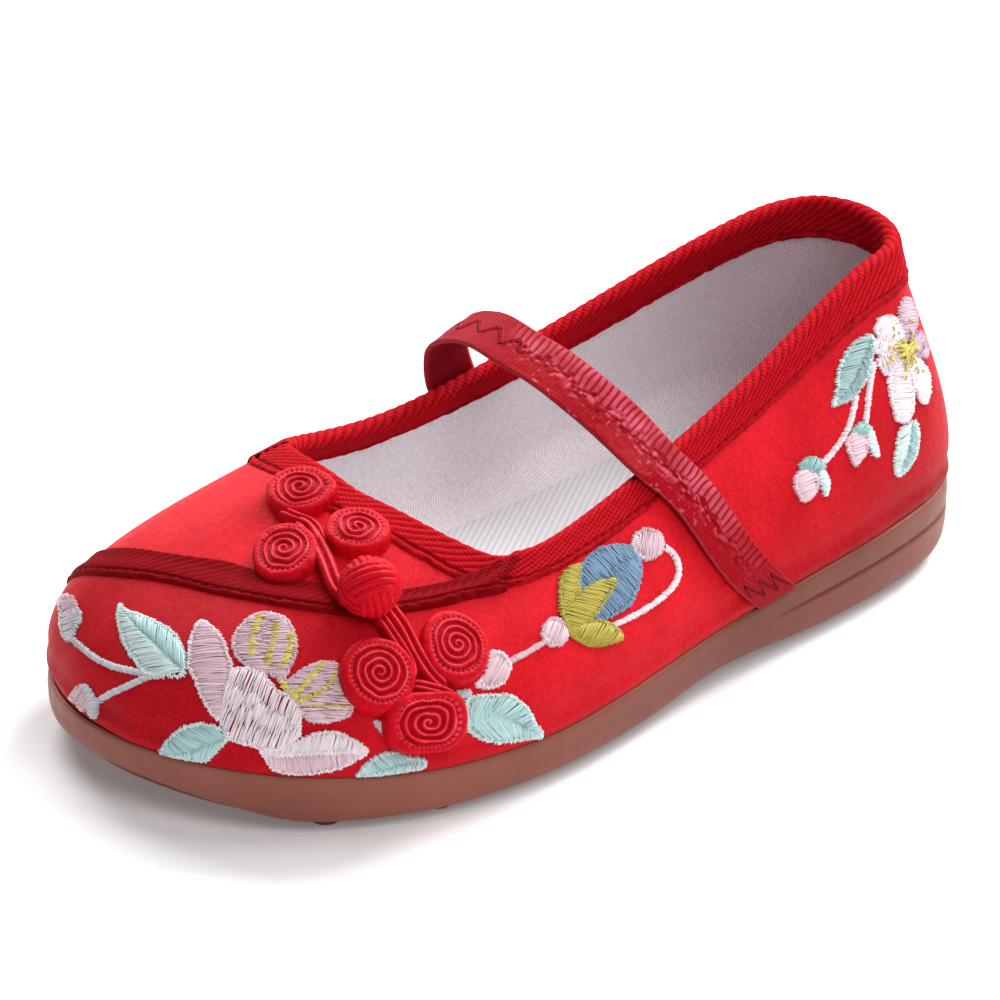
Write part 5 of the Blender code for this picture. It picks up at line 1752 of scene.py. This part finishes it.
def side_embroidery():
    s = Stitches()
    s.hatch(((456.5, 692.5), (468.4, 689.5), (470.4, 696.4), (464.4, 698.4)), 30, GREY)
    s.leaf(((466.4, 698.4), (476.3, 695.4), (492.1, 694.4), (507.9, 694.4), (519.8, 700.4),
            (529.7, 710.3), (537.6, 724.1), (542.5, 737.9), (527.7, 738.9), (511.9, 741.9),
            (494.1, 742.9), (480.3, 738.9), (468, 731), (464.5, 716)),
           ((466.4, 718.2), (488.2, 715), (507.9, 718.2), (523.8, 726.1), (541.5, 737)), 55,
           AQUA, AQUA * 0.95, edge=LIGHT_AQUA)
    s.hatch(((468, 700), (478, 697), (488, 700), (492, 716), (488, 734), (478, 736), (469, 728),
             (466, 715)), 100, AQUA * 0.98, base=0.05, edge=AQUA)
    s.hatch(((492.1, 650.9), (502, 652.9), (507.9, 658.9), (510.9, 666.8), (507.9, 676.6),
             (502, 684.6), (488.2, 688.5), (475.3, 685.5), (484.2, 674.7), (488.2, 662.8)),
            62, PALE_PINK * 0.93, edge=WHITE_PINK)
    s.stem(((506, 663.5), (527.7, 652.2), (547, 640.5)), 6.6, PALE_PINK * 0.95)
    q = np.linspace(0, 2 * np.pi, 14, endpoint=False)
    s.hatch(np.stack([556.2 + 13.6 * np.cos(q), 631.8 + 14.2 * np.sin(q)], 1), 70, PALE_PINK)
    s.stem(((668, 546), (676.2, 553.2), (681.7, 565), (681.1, 576.9), (674.2, 588.7),
            (662.3, 599.6), (646.5, 610.5), (630.7, 618.4), (614, 626.3)), 6.2,
           WHITE_PINK * 0.95)
    s.hatch(np.stack([649.5 + 16.2 * np.cos(q), 543.2 + 15.8 * np.sin(q)], 1), 84,
            PALE_PINK * 0.98)
    s.hatch(((581.3, 567), (587.2, 557.1), (597.1, 549.2), (609, 544.3), (622.8, 543.3),
             (633.7, 546.2), (639.6, 553.2), (643.6, 565), (642.6, 578.9), (638.6, 592.7),
             (632.7, 604.6), (620.8, 612.5), (609, 618.4), (597, 618), (585, 602), (580, 585)),
            -46, shade_by(BLUE * 0.94, PALE_BLUE, np.array([612, 580]), (0.3, -1), 40),
            longest=38)
    s.hatch(((559.5, 582.8), (562.5, 574.9), (569.4, 567), (579.3, 564), (581.3, 567),
             (579.3, 578.9), (580.3, 590.7), (574, 600), (567, 608), (562, 612), (560, 600)),
            -12, YELLOW_GREEN, base=0.3)
    s.hatch(((563.5, 606.5), (585.2, 586.8), (599.1, 580.8), (609, 578.9), (614.9, 577.9),
             (616.9, 582.8), (612.9, 590.7), (605, 602.6), (597.1, 614.4), (589.2, 622.3),
             (579.3, 626.3), (568, 624), (562, 614)), -14, YELLOW_GREEN, base=0.42)
    s.hatch(((564.5, 618.4), (579.3, 622.3), (595.1, 619.5), (607, 620.4), (616.9, 626.3),
             (624.5, 635), (622.8, 640.1), (609, 644.1), (595.1, 646.1), (581.3, 641.1),
             (571.4, 634.2)), 58, YELLOW_GREEN * 0.96, base=0.36)
    return thread_piece("side_embroidery", s)


def heel_embroidery():
    s = Stitches()
    s.leaf(((833.7, 404.9), (837.7, 390.1), (839.1, 371.4), (845.8, 355.3), (856.5, 341.9),
            (871.3, 333.8), (876, 341.9), (874.5, 355.3), (871.3, 371.4), (864.6, 384.8),
            (853.8, 398.2), (843.1, 403.5)),
           ((874.7, 334.5), (861.9, 366), (848.5, 390.1), (834.5, 404.3)), 52,
           DEEP_AQUA * 0.8 + GREY * 0.2, DEEP_AQUA * 0.7 + GREY * 0.3, edge=LIGHT_AQUA * 0.9)
    s.stem(((876, 362), (871.3, 390.1), (867.2, 424)), 6.0, WHITE_PINK * 0.9)
    s.stem(((857.9, 396), (848.5, 430.3), (824, 464)), 6.2, WHITE_PINK * 0.92)
    s.hatch(((848.5, 438.4), (852.5, 433), (861.9, 431.7), (869.9, 437.1), (868.6, 449.1),
             (863.2, 459.8), (856.5, 465.2), (851.2, 454.5), (847.1, 443.8)), 20, PALE_PINK)
    s.hatch(((852.5, 431.7), (857.9, 425), (864.6, 422.3), (871.3, 426.3), (868, 434),
             (859.2, 436)), 60, DEEP_AQUA * 1.05, base=0.25)
    s.hatch(((868.6, 426.3), (873.9, 431.7), (878, 443.8), (880.6, 456), (875.3, 454.5),
             (871.3, 443.8), (867.2, 434.4)), 15, LIGHT_AQUA, base=0.22)
    s.hatch(((802.9, 469.2), (813.6, 470.6), (819, 478.6), (817.6, 492), (808.3, 501.4),
             (800.2, 497.4), (796.2, 486.6), (796.2, 475.9)), 24, PALE_PINK)
    s.hatch(((800.2, 467.9), (804.2, 459.8), (813.6, 456.6), (823, 461.2), (825.7, 467.9),
             (816.3, 472), (808.3, 471)), 62, DEEP_AQUA * 1.08, base=0.25)
    s.hatch(((821.7, 465.2), (827, 473.2), (831, 484), (828.4, 496), (824.3, 489.3),
             (820.3, 475.9)), 18, LIGHT_AQUA, base=0.22)
    s.leaf(((899.4, 475.9), (898, 454.5), (900.8, 433), (907.5, 424.5), (917, 420.5),
            (921, 433), (919.9, 451.8), (914.2, 465.2), (906.1, 474.6)),
           ((914, 422), (911, 447), (900.4, 475)), 50, LIGHT_AQUA * 0.9, AQUA * 0.9,
           edge=LIGHT_AQUA)
    s.hatch(((902, 333), (901, 318), (903, 303), (909, 296.5), (914, 296.5), (917.5, 304),
             (920, 316), (918, 328), (913, 338), (907, 341)), 12,
            shade_by(MAUVE, PALE_PINK, np.array([910, 318]), (-1, -0.4), 12))
    s.hatch(((911, 347), (914, 339), (920, 331), (925, 329), (929, 336), (931, 346),
             (929, 356), (922, 358), (915, 354)), 60, MAUVE * 1.02)
    s.hatch(((877, 328), (880, 319), (888, 315), (897, 317), (902, 325), (907, 338),
             (905, 346), (896, 343), (886, 339), (879, 335)), 40, WHITE_PINK)
    s.hatch(((875, 343), (880, 338), (890, 340), (902, 345), (907, 350), (898, 355),
             (888, 356.5), (879, 353)), 78, WHITE_PINK)
    s.hatch(((879, 360), (886, 355), (897, 354), (906, 352), (900, 363), (893, 372),
             (886, 374)), 110, WHITE_PINK)
    s.hatch(((890, 380), (893, 370), (900, 362), (908, 354), (914, 362), (916, 380),
             (916, 400), (914, 415), (907, 423), (899, 420), (894, 405), (891, 392)), 2,
            WHITE_PINK)
    s.hatch(((911, 355), (918, 357), (925, 363), (930, 371), (932, 383), (931, 397),
             (927, 404), (921, 397), (916, 385), (912, 370)), 25, WHITE_PINK)
    c = np.array([908.0, 350.0])
    for tip in ((911, 315), (891, 328), (885, 347), (889, 361), (904, 384), (920, 377), (922, 343)):
        e = np.array(tip, float)
        for k in range(5):
            f = rng.uniform(0.34, 0.62)
            o = c + rng.normal(0, 2.0, 2)
            s.thread(o, c + (e - c) * f + rng.normal(0, 2.2, 2),
                     (YELLOW if k % 2 else GOLD * 1.1) * rng.uniform(0.85, 1.08), rise=0.3,
                     base=0.60, radius=0.19)
        for k in range(3):
            o = c + (e - c) * rng.uniform(0.62, 0.95) + rng.normal(0, 2.0, 2)
            d = unit(rng.normal(0, 1, 2)) * 2.2
            s.thread(o - d, o + d, GOLD * 1.1, rise=0.26, base=0.62, radius=0.2)
    for k in range(7):
        s.knot(c + rng.normal(0, 2.6, 2), 7.0, YELLOW * rng.uniform(0.85, 1.05), base=0.72)
    return thread_piece("heel_embroidery", s)


# ---------------------------------------------------------------- the setting
def floor_material():
    m, b = principled("floor", (0.88, 0.875, 0.88), 0.9, Specular_IOR_Level=0.1,
                      Emission_Color=(1.0, 0.985, 0.99, 1.0), Emission_Strength=0.14)
    return m


def area(name, where, size, power, aim=(0.0, 0.0, 0.025), colour=(1, 1, 1)):
    light = bpy.data.lights.new(name, "AREA")
    light.shape = "DISK"
    light.size = size
    light.energy = power
    light.color = colour
    obj = bpy.data.objects.new(name, light)
    back = unit(np.array(where, float) - np.array(aim, float))
    side = unit(np.cross((0, 0, 1.0), back) + np.array([1e-6, 0, 0]))
    up = np.cross(back, side)
    obj.matrix_world = Matrix([[side[k], up[k], back[k], where[k]] for k in range(3)]
                              + [[0, 0, 0, 1]])
    bpy.context.scene.collection.objects.link(obj)
    return obj


def make_setting():
    mesh = bpy.data.meshes.new("floor")
    mesh.from_pydata([(-3, -3, 0), (3, -3, 0), (3, 3, 0), (-3, 3, 0)], [], [(0, 1, 2, 3)])
    mesh.materials.append(floor_material())
    floor = bpy.data.objects.new("floor", mesh)
    bpy.context.scene.collection.objects.link(floor)
    world = bpy.data.worlds.new("studio")
    world.use_nodes = True
    world.node_tree.nodes["Background"].inputs[0].default_value = (1.0, 0.985, 1.0, 1.0)
    world.node_tree.nodes["Background"].inputs[1].default_value = 0.12
    scene = bpy.context.scene
    scene.world = world
    scene.view_settings.view_transform = "Standard"
    area("back", (-0.12, 0.98, 0.86), 0.8, 23.5)
    area("left", (-0.94, 0.34, 0.84), 0.8, 14.5)
    area("front", (0.86, -0.31, 0.92), 0.8, 6.5)
    area("top", (0.28, 0.48, 1.18), 0.8, 5.5)
    camera = bpy.data.cameras.new("camera")
    camera.sensor_fit = "HORIZONTAL"
    camera.sensor_width = 36.0
    camera.lens = FOCAL * 36.0 / 1000.0
    camera.clip_start, camera.clip_end = 0.05, 20.0
    obj = bpy.data.objects.new("camera", camera)
    eye = metres(EYE)
    obj.matrix_world = Matrix([[RIGHT[k], UP[k], BACK[k], eye[k]] for k in range(3)]
                              + [[0, 0, 0, 1]])
    scene.collection.objects.link(obj)
    scene.camera = obj


make_setting()
make_upper()
make_lining()
make_bindings()
make_outsole()
make_insole()
make_strap()
make_fastening()
toe_embroidery()
side_embroidery()
heel_embroidery()

bpy.context.view_layer.update()
